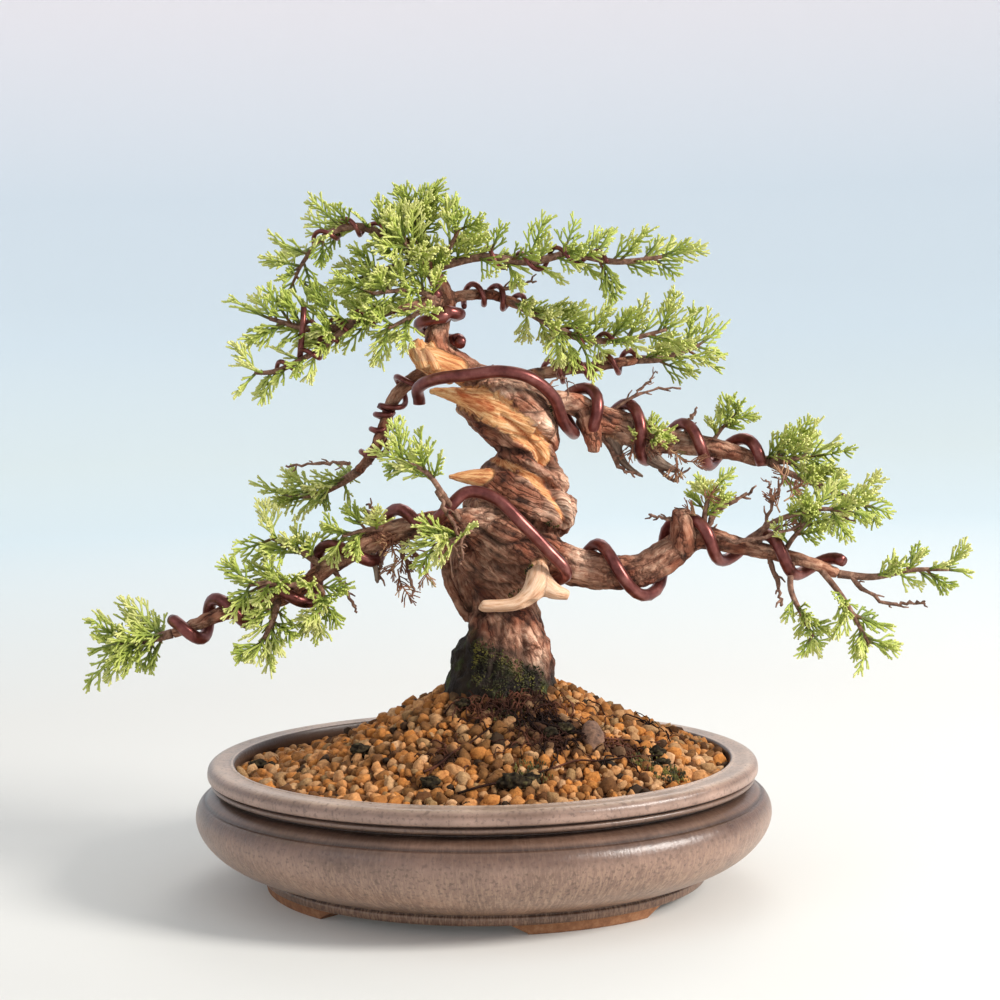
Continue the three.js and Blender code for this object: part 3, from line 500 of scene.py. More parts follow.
laid = scatter.node("GeometryNodeInstanceOnPoints", {
    "Points": lifted, "Instance": kinds, "Pick Instance": True,
    "Instance Index": by_chance("INT", 0, GRAIN_SHAPES - 1, given["Seed"]),
    "Rotation": by_chance("FLOAT_VECTOR", (0, 0, 0), (6.283, 6.283, 6.283), 9),
    "Scale": scatter.vector("SCALE", squeeze, by_chance("FLOAT", given["Smallest"], given["Largest"], 5))})[0]
gives_pieces(scatter, scatter.node("GeometryNodeStoreNamedAttribute", {
    "Geometry": laid, "Name": "shade", "Value": by_chance("FLOAT", 0.0, 1.0, 21)},
    domain="INSTANCE", data_type="FLOAT")[0], given["Material"])

grain_clay = Finish("fired_clay_grains", Roughness=0.9, Specular_IOR_Level=0.25)
kind_colour = grain_clay.ramp(
    grain_clay.named("shade"), (0.0, (0.02, 0.014, 0.009)), (0.02, (0.05, 0.026, 0.012)),
    (0.045, (0.14, 0.058, 0.02)), (0.17, (0.22, 0.1, 0.03)), (0.3, (0.42, 0.17, 0.045)),
    (0.5, (0.56, 0.22, 0.05)), (0.66, (0.64, 0.31, 0.12)), (0.8, (0.5, 0.27, 0.12)),
    (0.9, (0.33, 0.2, 0.085)), (1.0, (0.74, 0.43, 0.22)))
crumb = grain_clay.cloud(grain_clay.place, 620.0, 5.0, Roughness=0.7)
crumbly = grain_clay.tinted(0.8, kind_colour, crumb, (0.3, (0.4, 0.28, 0.2)), (0.52, (0.86, 0.84, 0.82)),
                            (0.75, (1.3, 1.28, 1.25)))
WET_PLACES = [  # x, y, z and radius
    ((9, -14, 77), 24), ((26, -36, 69), 17), ((55, -40, 60), 10), ((-12, -50, 62), 7),
]
nearest_wet = None
for middle, radius in WET_PLACES:
    apart = grain_clay.vector("DISTANCE", grain_clay.place, tuple(from_mm(middle)))
    shares = grain_clay.math("DIVIDE", apart, radius / 1000)
    nearest_wet = shares if nearest_wet is None else grain_clay.math("MINIMUM", nearest_wet, shares)
wet_edge = grain_clay.math("ADD", nearest_wet, grain_clay.cloud(grain_clay.place, 130.0, 4.0))
wet = grain_clay.math("MULTIPLY", grain_clay.spread(wet_edge, (1.15, 1.6), (1.0, 0.0)), 0.82)
grain_clay.put("Base Color", grain_clay.mixed(wet, crumbly, (0.04, 0.017, 0.009, 1)))
grain_clay.relief(crumb, 0.7, 0.0007)
# The bed between the grains is painted dark as shade in the gaps.
soil_bed.data.materials.append(speckled_finish(
    "soil_between_grains", 300.0, 6.0, [(0.35, (0.06, 0.02, 0.006)), (0.65, (0.2, 0.075, 0.02))],
    relief=(0.8, 0.001), Roughness=0.95))

GRAIN_LAYERS = [  # name, spacing, smallest and largest half-size, lift, seed
    ("soil_grains_large", 0.0047, 0.0021, 0.0034, 0.0008, 3),
    ("soil_grains_small", 0.003, 0.001, 0.0021, 0.0008, 4),
]
soil_pieces = [soil_bed]
for name, spacing, smallest, largest, lift_by, seed in GRAIN_LAYERS:
    soil_pieces.append(grown_from(
        name, set_out(name + "_carrier", grain_spread.data.copy()), scatter, Spacing=spacing,
        Smallest=smallest, Largest=largest, Lift=lift_by, Seed=seed, Material=grain_clay.material))
bpy.data.objects.remove(grain_spread)
for piece in soil_pieces:
    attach(piece, "root")
    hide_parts("soil")

# ---------------------------------------------------------------- stone
# One larger flat brown stone that leans on the slope of grains to the right of the trunk:
# worn and lumpy, with a duller, darker skin than the clay.
STONE_PLACE = (45, -37, 66)
STONE_HALVES = (4.7, 6.9, 3.9)
stone_turn = Matrix.Rotation(0.3, 3, "Z") @ Matrix.Rotation(0.8, 3, "X")
stone_ball = bmesh.new()
bmesh.ops.create_icosphere(stone_ball, subdivisions=4, radius=1)
for vertex in stone_ball.verts:
    worn = 1 + 0.22 * noise.noise(vertex.co * 1.4) + 0.07 * noise.noise(vertex.co * 4)
    vertex.co = from_mm(stone_turn @ (vertex.co * worn * Vector(STONE_HALVES)) + Vector(STONE_PLACE))
dull_stone = speckled_finish(
    "dull_brown_stone", 240.0, 8.0, [(0.35, (0.05, 0.026, 0.018)), (0.55, (0.22, 0.115, 0.07)),
                                     (0.72, (0.4, 0.25, 0.16))],
    fine=0.7, relief=(0.7, 0.0008), Roughness=0.85)
stone = shaped("stone_in_soil", stone_ball, dull_stone, smooth=True)
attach(stone, "root")
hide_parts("stone")

# ---------------------------------------------------------------- trunk and branches
# One living tree: a fluted foot, a trunk that twists like a two-strand rope, and branches
# that were bent while young. Most of it wears flaking red-brown bark; strips and stubs
# were stripped to bare wood, orange where it is fresh and cream where it is carved.
TRUNK_STATIONS = [  # height, middle x and y, radius
    (40, 8, 0, 22), (60, 8, 0, 25), (86, 9, 0, 22.5), (92, 10, 0, 20.5), (101, 11, 0, 18), (109, 12, 1, 15.2),
    (115, 11, 2, 14), (121, 13.5, 0, 16), (128, 14.7, -2, 20.7), (136, 14.6, -3, 22.5), (144, 16.5, -3, 23.3),
    (152, 18.5, -2, 23.4), (159, 19.5, -1, 22.5), (166, 19.7, 0, 19.2), (172, 20, 1, 15.8), (177, 22, 2, 14),
    (182, 21, 2, 15.2), (189, 17, 1, 18), (195, 14, 0, 20), (201, 13.7, 0, 19.5), (205.5, 14.5, 0, 15.5),
    (209, 16, 0, 6),
]
TRUNK_DEPTH = 0.95                 # from front to back, as a share of its width
GROOVE_AT_LEFT = [  # height, and how many half turns the groove has made there
    (90, 3.5), (118, 3), (143, 2), (160, 1), (177, 0), (205, -1), (209, -1.1),
]
LIMBS = {  # x, y, z and radius, from root to tip
    "leader": [(14, 2, 201, 7), (-4, 3, 212, 6.2), (-13, 2, 221, 5.4), (-12, 2, 231, 4.2), (-9, 4, 240, 3.8),
               (-14, 5, 251, 3.4), (-18, 4, 260, 2.8), (-19, 3, 266, 2.2)],
    "low_left": [(7, -14, 150, 6.5), (-14, -18, 151, 5.4), (-36, -21, 147, 4.8), (-56, -24, 137, 4),
                 (-74, -28, 125, 3.3), (-97, -31, 119.5, 3.2), (-110, -33, 115, 2.6),
                 (-120, -34, 111.5, 2.2)],
    "low_right": [(20, -6, 139, 9), (44, -12, 130, 7.8), (66, -13, 129, 7), (79, -12, 136, 6.8),
                  (90, -12, 142, 5.3), (107, -13, 138, 3.7), (131, -15, 132, 2.8), (146, -16, 126, 2.2)],
    "low_right_knob": [(84, -13, 138, 6), (83, -18, 148, 4.8), (82, -20, 154, 3)],
    "high_right": [(22, 6, 196, 6.4), (40, 13, 197, 4.8), (54, 17, 189, 6), (67, 19, 184, 7),
                   (77, 20, 180, 5.6), (102, 21, 176, 4.2), (121, 23, 170, 2.8)],
    "high_right_knob": [(48, 13, 190, 5.6), (50, 10, 181, 3.8), (50, 10, 176, 2.4)],
    "splinter_near": [(69, 18, 179, 5.4), (77, 16, 171, 3), (86, 14, 167, 1.2)],
    "splinter_far": [(58, 16, 182, 3), (63, 16, 171, 1.8), (71, 15, 165, 0.8)],
    "middle_right": [(12, 16, 203, 4), (25, 26, 208, 2.8), (51, 34, 211, 2.5), (71, 39, 213.5, 2.2)],
    "upper_right": [(-10, 4, 240, 2.8), (0, 7, 242, 2.3), (11, 11, 241.5, 2.1), (24, 14, 236, 1.9)],
    "left_descending": [(-8, 5, 214, 4), (-22, 8, 209, 3.2), (-32, 12, 200, 2.9), (-37, 16, 187, 2.6),
                        (-42, 20, 177, 2.4), (-48, 24, 170, 2.2)],
    "left_upper": [(-12, 2, 240, 2.8), (-20, -8, 238.5, 2.2), (-29, -14, 237, 2)],
    "torn_stub": [(-6, 0, 211, 6.4), (-15, -4, 215, 6), (-21, -5, 219, 4.2), (-23, -6, 224, 1.6)],
    "top_jin": [(24, -7, 190, 9), (10, -12, 196, 7.4), (0, -13, 200, 4.8), (-9, -12, 202.4, 2.8),
                (-17, -11, 203.8, 1.2)],
    "middle_jin": [(6, -8, 167.5, 4.6), (-3, -10, 168.6, 2.8), (-10, -12, 169, 0.9)],
    "low_jin": [(25, -20, 132, 4.4), (24.5, -27, 127, 5.2), (20.5, -30, 122, 4), (14, -31, 119, 2.9),
                (3, -30, 118.6, 2.6), (1.2, -30, 118.8, 1.2)],
    "low_jin_spur": [(26, -26, 128, 4.4), (30, -28, 124, 3.8), (37, -27.5, 121.5, 2)],
    "bark_slab": [(-4, -4, 153, 3.4), (-11.5, -2, 141, 2.4), (-12, 0, 129, 2.2), (-8.5, 2, 118, 2.2),
                  (-3, 4, 109, 2.4)],
    "slab_back": [(-1, 8, 148, 6), (-5, 8, 134, 5.5), (-4, 9, 121, 5), (0, 8, 109, 5.5)],
    "stubs_on_top": [(10, 4, 203, 3), (9.5, 3, 209, 2), (9, 3, 214, 0.8)],
    "low_left_stub": [(-43, -22, 144, 2.2), (-40, -25, 136, 1.5), (-39, -26, 128, 1)],
    "low_left_stub_up": [(-38, -21, 147, 2), (-41, -22, 153, 1.4), (-43, -22, 158, 1)],
}
TORN_AWAY = 7                      # long splinters that stand up from the torn stub
for k in range(TORN_AWAY):
    share = k / (TORN_AWAY - 1)
    lean = 3.2 * math.sin(5 * k)
    LIMBS[f"torn_splinter_{k}"] = [(-11 - 9 * share, -2 - 4 * (k % 3), 211 + 2 * share, 2.3),
                                   (-14 - 8 * share, -3 - 3.4 * (k % 3), 219 + lean / 2, 1.7),
                                   (-15.5 - 8.5 * share, -4 - 3 * (k % 3), 223.5 + lean - 2 * share, 0.9)]
FRESH_WOOD = {"torn_stub", "middle_jin"} | {name for name in LIMBS if name.startswith("torn_splinter")}
CREAM_WOOD = {"low_jin", "low_jin_spur"}
GREY_WOOD = {"splinter_near", "splinter_far", "stubs_on_top", "low_left_stub", "low_left_stub_up"}
STRIPPED = [  # strips of bare wood down the front of the trunk: x, z and half-width
    [(-16.2, 205, 2.5), (-10.4, 203, 3), (-3.6, 200.2, 4.9), (3.2, 199, 6), (10, 195.9, 5.9),
     (15.7, 191.4, 5), (22.4, 185.3, 4.6), (27.2, 179.8, 3.7), (30, 174.9, 2.1)],
    [(6, 176, 0.8), (11.4, 173.9, 1.4), (17.2, 171.8, 1.7), (23, 168.2, 1.8), (27.7, 164.2, 1.8),
     (31.5, 159.7, 1.6), (34.3, 154.2, 1.2), (35.5, 150.3, 0.7)],
]
HEARTWOOD = [  # redder streaks in the bare wood, told the same way
    [(-5.5, 204.1, 1), (-1.7, 200.6, 2), (2.2, 198, 2.6), (8, 196.5, 1.6)],
    [(9, 175.2, 0.5), (20.1, 172.2, 0.7), (26.4, 168.6, 0.8), (31, 163.6, 0.8), (35.2, 157, 0.7),
     (36, 149, 0.5)],
    [(12, 193, 0.5), (19, 186.6, 0.7), (25.5, 180, 0.7), (28.5, 175, 0.5)],
]
CREVICES = [  # lines cut into, or standing out of, the front of the trunk, the cut-in ones also painted dark as shade: depth, width, then x and z
    (3.0, 1.4, [(7, 179), (9, 178.8), (15.4, 178.7), (22.2, 177.5), (26.1, 175.5), (30.9, 172.9),
                (33.3, 171.9)]),
    (1.8, 0.8, [(12.4, 175.5), (20.1, 172.7), (25.9, 169.1), (30.7, 164.1), (34.4, 158.2), (36.5, 153.2),
                (36, 148.3)]),
    (3.6, 1.8, [(8, 161), (12.9, 156.7), (16.7, 152.7), (21.5, 149.7), (25.4, 147.6), (30.2, 145.6),
                (36, 143.5)]),
    (2.2, 1.1, [(-2, 149), (1.9, 148.2), (6.7, 144.2), (11.6, 142.1), (22.3, 143.8)]),
    (1.6, 0.9, [(2, 139), (9, 134), (18, 132), (25, 136)]),
    (1.6, 0.8, [(-3, 130), (5, 126), (14, 125)]),
    (2.6, 2.0, [(-2, 113.5), (6.9, 113.9), (15.7, 113.7), (21.7, 118.4)]),
    (1.4, 1.3, [(2, 112), (-2, 101), (-7, 89)]),
    (1.4, 1.2, [(10, 110), (8, 99), (5, 88)]),
    (1.2, 1.2, [(18, 111), (19, 100), (20, 88)]),
    (1.6, 0.8, [(12, 193.4), (20, 186), (26, 179.5), (29, 174)]),
    (-1.5, 1.5, [(-9, 197.4), (-3.7, 193.8), (3.1, 192), (8.9, 190.3), (15, 185.6), (19.4, 181),
                 (23.4, 177.2)]),
    (-2.0, 3.2, [(6, 206), (12, 203.6), (20, 200.5), (26.4, 195), (30.5, 188), (32.5, 181)]),
    (-1.2, 1.6, [(8.5, 177), (14, 175.9), (20.7, 174.5), (27.4, 171), (32.4, 166), (36, 159.5), (38, 152)]),
    (-1.0, 1.6, [(6, 172), (12, 170), (19, 167), (25, 162.5), (29.5, 157), (32, 151)]),
]
BARK_TONES_AND_LIGHT = [  # how much paler, or darker, the bark is about a place, for its own grey and red patches and as painted light down the lit right side and painted shade low on the left and front: x, y, z, radius, tone
    (29, -14, 187, 7, 1.2), (33, -12, 179, 6, 1.1), (16, -16, 202, 8, 0.6), (38, -10, 160, 6, 1.3),
    (40, -8, 151, 6, 1.2), (35, -14, 146, 5, 0.9), (24, -19, 172, 5, 0.9), (12, -19, 177, 4, 0.7),
    (25, -22, 155, 7, 0.8), (14, -22, 164, 6, 0.2), (0, -17, 152, 6, 0.7), (26, -17, 110, 6, 1.0),
    (27, -16, 100, 7, 1.2), (24, -16, 92, 6, 0.7), (40, -12, 137, 7, 0.9), (62, -16, 130, 14, -0.1),
    (82, -14, 140, 12, 0.1), (45, 12, 194, 14, 0.5), (-12, 2, 225, 10, 0.5), (80, 18, 178, 20, 0.5),
    (3, -14, 189, 8, -0.6), (14, -17, 182, 5, -0.5), (3, -20, 136, 9, -0.1), (15, -23, 130, 8, -0.45),
    (28, -20, 136, 6, -1.0), (-1, -14, 121, 7, -1.4), (14, -18, 111, 6, -0.7), (-4, -14, 96, 10, -0.9),
]
TRUNK_SIDES, LIMB_SIDES = 56, 16
THINNEST = 0.7                     # the least radius of a limb, which the mesh can still hold
WOOD_FINENESS = 0.00082            # size in metres of the cells in which the limbs grow together


def table_at(table, z, column):
    return np.interp(z, [row[0] for row in table], [row[column] for row in table])


def smooth_between(x, low, high):
    u = np.clip((x - low) / (high - low), 0, 1)
    return u * u * (3 - 2 * u)


def trunk_reach(turn, z):
    """Radius of the trunk at a turn from its groove, in millimetres."""
    twisted = smooth_between(z, 108, 122)
    fluted = smooth_between(z, 84, 94) * (1 - twisted)
    groove = (1 - np.abs(np.sin(turn))) ** 2
    lip = np.exp(-((np.abs(np.sin(turn)) - 0.42) / 0.16) ** 2)
    return table_at(TRUNK_STATIONS, z, 3) * (1 - 0.28 * groove * twisted + 0.03 * lip * twisted
                                             + 0.07 * np.cos(4 * turn) * fluted)


def frames_along(points):
    """Unit directions along a row of points, and two square to each that don't spin."""
    along = np.gradient(points, axis=0)
    along /= np.linalg.norm(along, axis=1)[:, None]
    side = np.cross(along[0], (0, 0, 1) if abs(along[0][2]) < 0.9 else (0, -1, 0))
    sides = []
    for way in along:
        side = side - way * side.dot(way)
        side = side / np.linalg.norm(side)
        sides.append(side)
    sides = np.array(sides)
    return along, sides, np.cross(sides, along)


def tube_rings(points, radii, count):
    """Round rings in metres along a row of places in millimetres."""
    _, side, up = frames_along(points)
    turns = once_round(count)
    return [from_mm(p + r * (np.outer(np.cos(turns), s) + np.outer(np.sin(turns), u)))
            for p, r, s, u in zip(points, radii, side, up)]


def turn_out(piece):
    """Turns every face of a closed piece outwards."""
    shape = bmesh.new()
    shape.from_mesh(piece.data)
    bmesh.ops.recalc_face_normals(shape, faces=shape.faces)
    shape.to_mesh(piece.data)
    shape.free()


trunk_rings = []
for z in np.arange(40, 209.1, 1.0):
    turns = -once_round(TRUNK_SIDES)
    reach = trunk_reach(turns, z)
    angles = turns + math.pi * (1 + table_at(GROOVE_AT_LEFT, z, 1))
    trunk_rings.append(from_mm(np.column_stack([
        table_at(TRUNK_STATIONS, z, 1) + reach * np.cos(angles),
        table_at(TRUNK_STATIONS, z, 2) + TRUNK_DEPTH * reach * np.sin(angles), np.full(TRUNK_SIDES, z)])))
wood_parts = [skin("trunk_skin", [ring[::-1] for ring in trunk_rings])]
limb_lines = {name: through(points, 14) for name, points in LIMBS.items()}
for name, fine in limb_lines.items():
    radii = np.maximum(fine[:, 3], THINNEST)
    wood_parts.append(skin(name + "_skin", tube_rings(fine[:, :3], radii, LIMB_SIDES)))
whole = bmesh.new()
for part in wood_parts:
    turn_out(part)
    whole.from_mesh(part.data)
    bpy.data.objects.remove(part)
wood = shaped("wood", whole)
melt = wood.modifiers.new("grown_together", "REMESH")
melt.mode, melt.voxel_size, melt.use_smooth_shade = "VOXEL", WOOD_FINENESS, True
soften = wood.modifiers.new("softened", "SMOOTH")
soften.factor, soften.iterations = 0.5, 2
wood = plain("tree_wood", wood)

# Where each point of the wood lies: which limb, how far along it, and how far round.
TRUNK_TOP = 209.5
FAR_OFF = 50.0                     # stands for any limb that is too far away to matter
GRAIN_APART = 37                   # keeps the grain of one limb from running on into the next
LIMB_ROOM = 12                     # how far round a limb's line its own bark is looked for
count = len(wood.data.vertices)
spots = np.empty(count * 3)
wood.data.vertices.foreach_get("co", spots)
spots = (spots.reshape(-1, 3) - (POT_X, POT_Y, 0)) * 1000
normals = np.empty(count * 3)
wood.data.vertex_normals.foreach_get("vector", normals)
normals = normals.reshape(-1, 3)
x, y, z = spots.T
middle_x, middle_y = table_at(TRUNK_STATIONS, z, 1), table_at(TRUNK_STATIONS, z, 2)
angle = np.arctan2((y - middle_y) / TRUNK_DEPTH, x - middle_x)
turn = angle - math.pi * (1 + table_at(GROOVE_AT_LEFT, z, 1))
depth = np.hypot(x - middle_x, (y - middle_y) / TRUNK_DEPTH) - trunk_reach(turn, z)
nearest = np.where(z < TRUNK_TOP, depth, FAR_OFF)
owner = np.zeros(count, int)
round_turn, along_by, girth = turn.copy(), z * 1.25, table_at(TRUNK_STATIONS, z, 3)
closeness = {"trunk": nearest.copy()}
for index, (name, fine) in enumerate(limb_lines.items(), 1):
    line_points, radii = fine[:, :3], np.maximum(fine[:, 3], THINNEST)
    _, side, up = frames_along(line_points)
    reach = np.concatenate([[0], np.cumsum(np.linalg.norm(np.diff(line_points, axis=0), axis=1))])
    tree_of_points = KDTree(len(line_points))
    for i, p in enumerate(line_points):
        tree_of_points.insert(p, i)
    tree_of_points.balance()
    low, high = line_points.min(0) - LIMB_ROOM, line_points.max(0) + LIMB_ROOM
    inside = np.nonzero(((spots > low) & (spots < high)).all(1))[0]
    found = np.array([tree_of_points.find(spots[i])[1] for i in inside], int)
    offset = spots[inside] - line_points[found]
    gap = np.linalg.norm(offset, axis=1) - radii[found]
    closeness[name] = np.full(count, FAR_OFF)
    closeness[name][inside] = gap
    closer = gap < nearest[inside]
    chosen, at, offset = inside[closer], found[closer], offset[closer]
    nearest[chosen] = gap[closer]
    owner[chosen] = index
    round_turn[chosen] = np.arctan2((offset * up[at]).sum(1), (offset * side[at]).sum(1))
    along_by[chosen] = reach[at] + GRAIN_APART * index
    girth[chosen] = radii[at]
grain_turn = np.where(owner == 0, angle - 0.55 * math.pi * (1 + table_at(GROOVE_AT_LEFT, z, 1)), round_turn)
grain = np.column_stack([girth * np.cos(grain_turn), girth * np.sin(grain_turn), along_by])

front = np.nonzero((y < middle_y + 3) & (z > 84) & (z < 212) & (x > -22) & (x < 45))[0]
facing = np.zeros(count)
facing[front] = np.clip(-1.6 * normals[front, 1] + 0.1, 0, 1)


def traced(points):
    """How far the trunk's front stands from a line traced in front view, and the line's nearest point."""
    fine = through(points, 10)
    gaps = np.hypot(x[front, None] - fine[None, :, 0], z[front, None] - fine[None, :, 1])
    at = gaps.argmin(1)
    return gaps[np.arange(len(front)), at], fine[at]


def noise_over(places, scales, shift=0):
    """Noise at each of many places, drawn out by a scale along each axis."""
    return np.array([noise.noise(p) for p in (places * scales + (0, 0, shift)).tolist()])


def paint(piece, name, values, kind="FLOAT"):
    """A named value on every point of a piece, for its material to read."""
    layer = piece.data.attributes.new(name, kind, "POINT")
    layer.data.foreach_set("vector" if kind == "FLOAT_VECTOR" else "value",
                           np.ravel(values).astype(np.float32))


bare, cream, grey, heart, crevice_shade = (np.zeros(count) for _ in range(5))
stripped = FRESH_WOOD | CREAM_WOOD | GREY_WOOD
others = np.minimum.reduce([value for key, value in closeness.items() if key not in stripped])
for name in stripped:
    share = smooth_between(others - closeness[name], -0.6, 1.2)
    for cover, limbs in ((bare, stripped), (cream, CREAM_WOOD), (grey, GREY_WOOD)):
        if name in limbs:
            np.maximum(cover, share, out=cover)
ragged = noise_over(spots[front], 0.5)
for lines, cover in ((STRIPPED, bare), (HEARTWOOD, heart)):
    for points in lines:
        away, place_on = traced(points)
        strip = smooth_between(place_on[:, 2] * (1 + 0.35 * ragged) - away, -0.35, 0.5) * (facing[front] > 0)
        cover[front] = np.maximum(cover[front], strip)

rough = noise_over(grain, (0.1, 0.1, 0.05))
plates = noise_over(grain, (0.36, 0.36, 0.16), 9)
fibres = noise_over(grain, (1.1, 1.1, 0.09), 4)
lumps = noise_over(spots, 0.13)
knobs = noise_over(spots, 0.36, 20)
scale = np.clip(girth / 16, 0.2, 1)
height = scale * (1.0 * rough + 0.9 * np.abs(plates) - 0.3 + 1.3 * lumps) + 0.75 * knobs * (0.4 + 0.6 * scale)
smoother = scale * (0.5 * rough + 0.5 * lumps) + 0.3 * fibres * (0.4 + 0.6 * scale) - 0.75 * scale
height = height * (1 - bare) + smoother * bare
for depth_of, width_of, points in CREVICES:
    away, _ = traced([(a, b, 0) for a, b in points])
    pressed = np.exp(-(away / (width_of * (1 + 0.3 * ragged))) ** 2) * facing[front]
    height[front] -= depth_of * pressed
    # Cut-in crevices are painted dark as shade.
    if depth_of > 0:
        crevice_shade[front] = np.maximum(crevice_shade[front], min(depth_of / 2, 1) * pressed)
spots = spots + normals * height[:, None]
wood.data.vertices.foreach_set("co", from_mm(spots).ravel())
wood.data.update()
# The foot of the trunk is darkened, reaching higher on its left side.
foot_darkening = smooth_between(z + 8 * lumps - 0.5 * (12 - x), 105, 92) * smooth_between(z, 110, 105) * (1 - bare)
# The tone carries painted light and shade as well as the bark's own paler and darker patches.
tone = np.zeros(count)
for a, b, c, radius, strength in BARK_TONES_AND_LIGHT:
    tone += strength * np.exp(-(((spots - (a, b, c)) ** 2).sum(1)) / radius ** 2)
paint(wood, "grain", grain / 1000, "FLOAT_VECTOR")
for name, values in (
        ("bare", bare), ("cream", cream), ("grey", grey), ("heart", heart),
        # Painted shade also darkens the hollows between bark plates and knobs.
        ("crevice_shade", np.clip(np.maximum(crevice_shade, 0.06 - plates * 1.1 - knobs * 0.8) * (1 - 0.5 * bare), 0, 1)),
        ("foot_darkening", foot_darkening), ("bark_tone_and_light", np.clip(0.5 + 0.5 * tone, 0, 1))):
    paint(wood, name, values)

# Fibres are shared by bark and bare wood: streaks that run along the grain.
streaks, given = recipe_of("wood_fibres", "ShaderNodeTree", {"Grain": "Vector", "Fineness": "Float"},
                           {"Height": "Float"})
streaks.node("NodeGroupOutput", {0: streaks.cloud(
    streaks.vector("MULTIPLY", given["Grain"], (1.0, 1.0, 0.1)), given["Fineness"], 7.0, Roughness=0.65)})

juniper = Finish("juniper_bark_and_wood", Specular_IOR_Level=0.3)
grain_place = juniper.named("grain", "Vector")
fine_fibre, broad_fibre = (juniper.node("ShaderNodeGroup", {"Grain": grain_place, "Fineness": fineness},
                                        node_tree=streaks.tree)["Height"] for fineness in (900.0, 260.0))
flakes = juniper.cloud(juniper.vector("MULTIPLY", grain_place, (1.0, 1.0, 0.3)), 520.0, 8.0,
                       Roughness=0.72, Distortion=0.8)
wander = juniper.cloud(juniper.place, 260.0, 4.0, "Color")
plate_place = juniper.vector("ADD", juniper.vector("MULTIPLY", grain_place, (1.0, 1.0, 0.28)),
                             juniper.vector("SCALE", wander, 0.0045))
plate_inputs = {"Vector": plate_place, "Scale": 190.0}
plate_gap = juniper.node("ShaderNodeTexVoronoi", plate_inputs, feature="DISTANCE_TO_EDGE")["Distance"]
plate_draw = juniper.node("ShaderNodeSeparateColor", {
    0: juniper.node("ShaderNodeTexVoronoi", plate_inputs)["Color"]})[0]
patches = juniper.cloud(juniper.place, 75.0, 5.0)
bark = juniper.ramp(flakes, (0.28, (0.085, 0.028, 0.015)), (0.4, (0.24, 0.105, 0.064)),
                    (0.5, (0.39, 0.205, 0.135)), (0.6, (0.5, 0.305, 0.21)), (0.72, (0.68, 0.48, 0.37)))
bark = juniper.tinted(0.8, bark, patches, (0.39, (0.66, 0.31, 0.19)), (0.5, (1, 0.84, 0.76)),
                      (0.63, (1.3, 1.3, 1.27)))
bark = juniper.tinted(0.7, bark, plate_draw, (0.0, (0.62, 0.55, 0.52)), (0.5, 1), (1.0, 1.3))
# Painted light and shade, with the bark's own patches, from the tone.
bark = juniper.tinted(1.0, bark, juniper.named("bark_tone_and_light"), (0.0, (0.3, 0.17, 0.12)), (0.5, 1),
                      (1.0, (1.8, 2.25, 2.5)))
bark = juniper.tinted(juniper.ramp(patches, (0.4, 0.9), (0.58, 0.25)), bark, plate_gap,
                      (0.0, (0.08, 0.04, 0.025)), (0.05, (0.55, 0.45, 0.4)), (0.09, 1))
# Near black painted shade in the crevices and hollows of the bark.
bark = juniper.mixed(juniper.math("MULTIPLY", juniper.named("crevice_shade"), 0.85), bark, (0.022, 0.01, 0.007, 1))
fresh = juniper.ramp(fine_fibre, (0.32, (0.36, 0.11, 0.04)), (0.42, (0.56, 0.21, 0.08)),
                     (0.52, (0.77, 0.41, 0.17)), (0.66, (0.88, 0.61, 0.35)))
fresh = juniper.tinted(0.5, fresh, broad_fibre, (0.36, (0.75, 0.42, 0.26)), (0.5, (1, 0.95, 0.92)),
                       (0.7, (1.05, 1.08, 1.12)))
red_streaks = juniper.math("MULTIPLY", juniper.named("heart"),
                           juniper.ramp(broad_fibre, (0.38, 0.3), (0.55, 1)))
fresh = juniper.mixed(red_streaks, fresh, juniper.ramp(fine_fibre, (0.35, (0.3, 0.045, 0.012)),
                                                       (0.65, (0.56, 0.14, 0.04))))
pale = juniper.ramp(fine_fibre, (0.3, (0.46, 0.21, 0.11)), (0.45, (0.74, 0.43, 0.26)),
                    (0.62, (0.88, 0.61, 0.42)))
weathered = juniper.ramp(fine_fibre, (0.3, (0.05, 0.03, 0.022)), (0.5, (0.19, 0.125, 0.09)),
                         (0.7, (0.38, 0.28, 0.21)))
bare_colour = juniper.mixed(juniper.named("cream"), fresh, pale)
bare_colour = juniper.mixed(juniper.named("grey"), bare_colour, weathered)
wood_colour = juniper.mixed(juniper.named("bare"), bark, bare_colour)
# Green-tinged near black for the darkened foot.
foot_dark_colour = juniper.ramp(
    juniper.cloud(juniper.place, 120.0, 6.0), (0.4, (0.012, 0.007, 0.005)), (0.55, (0.026, 0.016, 0.009)),
    (0.64, (0.036, 0.04, 0.011)), (0.74, (0.075, 0.085, 0.022)))
juniper.put("Base Color", juniper.mixed(juniper.named("foot_darkening"), wood_colour, foot_dark_colour))
juniper.put("Roughness", juniper.spread(flakes, end=(0.7, 0.92)))
plated = juniper.math("ADD", flakes, juniper.spread(plate_gap, (0.0, 0.16), (0.0, 0.8)))
juniper.relief(juniper.node("ShaderNodeMix", {0: juniper.named("bare"), 2: plated, 3: fine_fibre},
                            data_type="FLOAT")[0], 0.85, 0.0011)
wood.data.materials.clear()
wood.data.materials.append(juniper.material)
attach(wood, "root")
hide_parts("trunk")

# ---------------------------------------------------------------- training wire
# Soft aluminium wire, anodised copper-brown: 5 mm on the two lowest branches, the upper
# right branch and the leader, 2.4 mm on the thinner ones. Wound on by hand, it holds each
# branch where it was bent, and its ends are nipped off square.
THICK_WIRE, THIN_WIRE = 5.0, 2.4
WIRE_OFF = 0.9                     # how far the wire stands off the limb's middle radius


def read_line(points, shares):
    """The smooth line through points at shares of its length, ends included."""
    return on_line(points, np.clip(np.atleast_1d(shares), 0, 1) * (len(points) - 1))


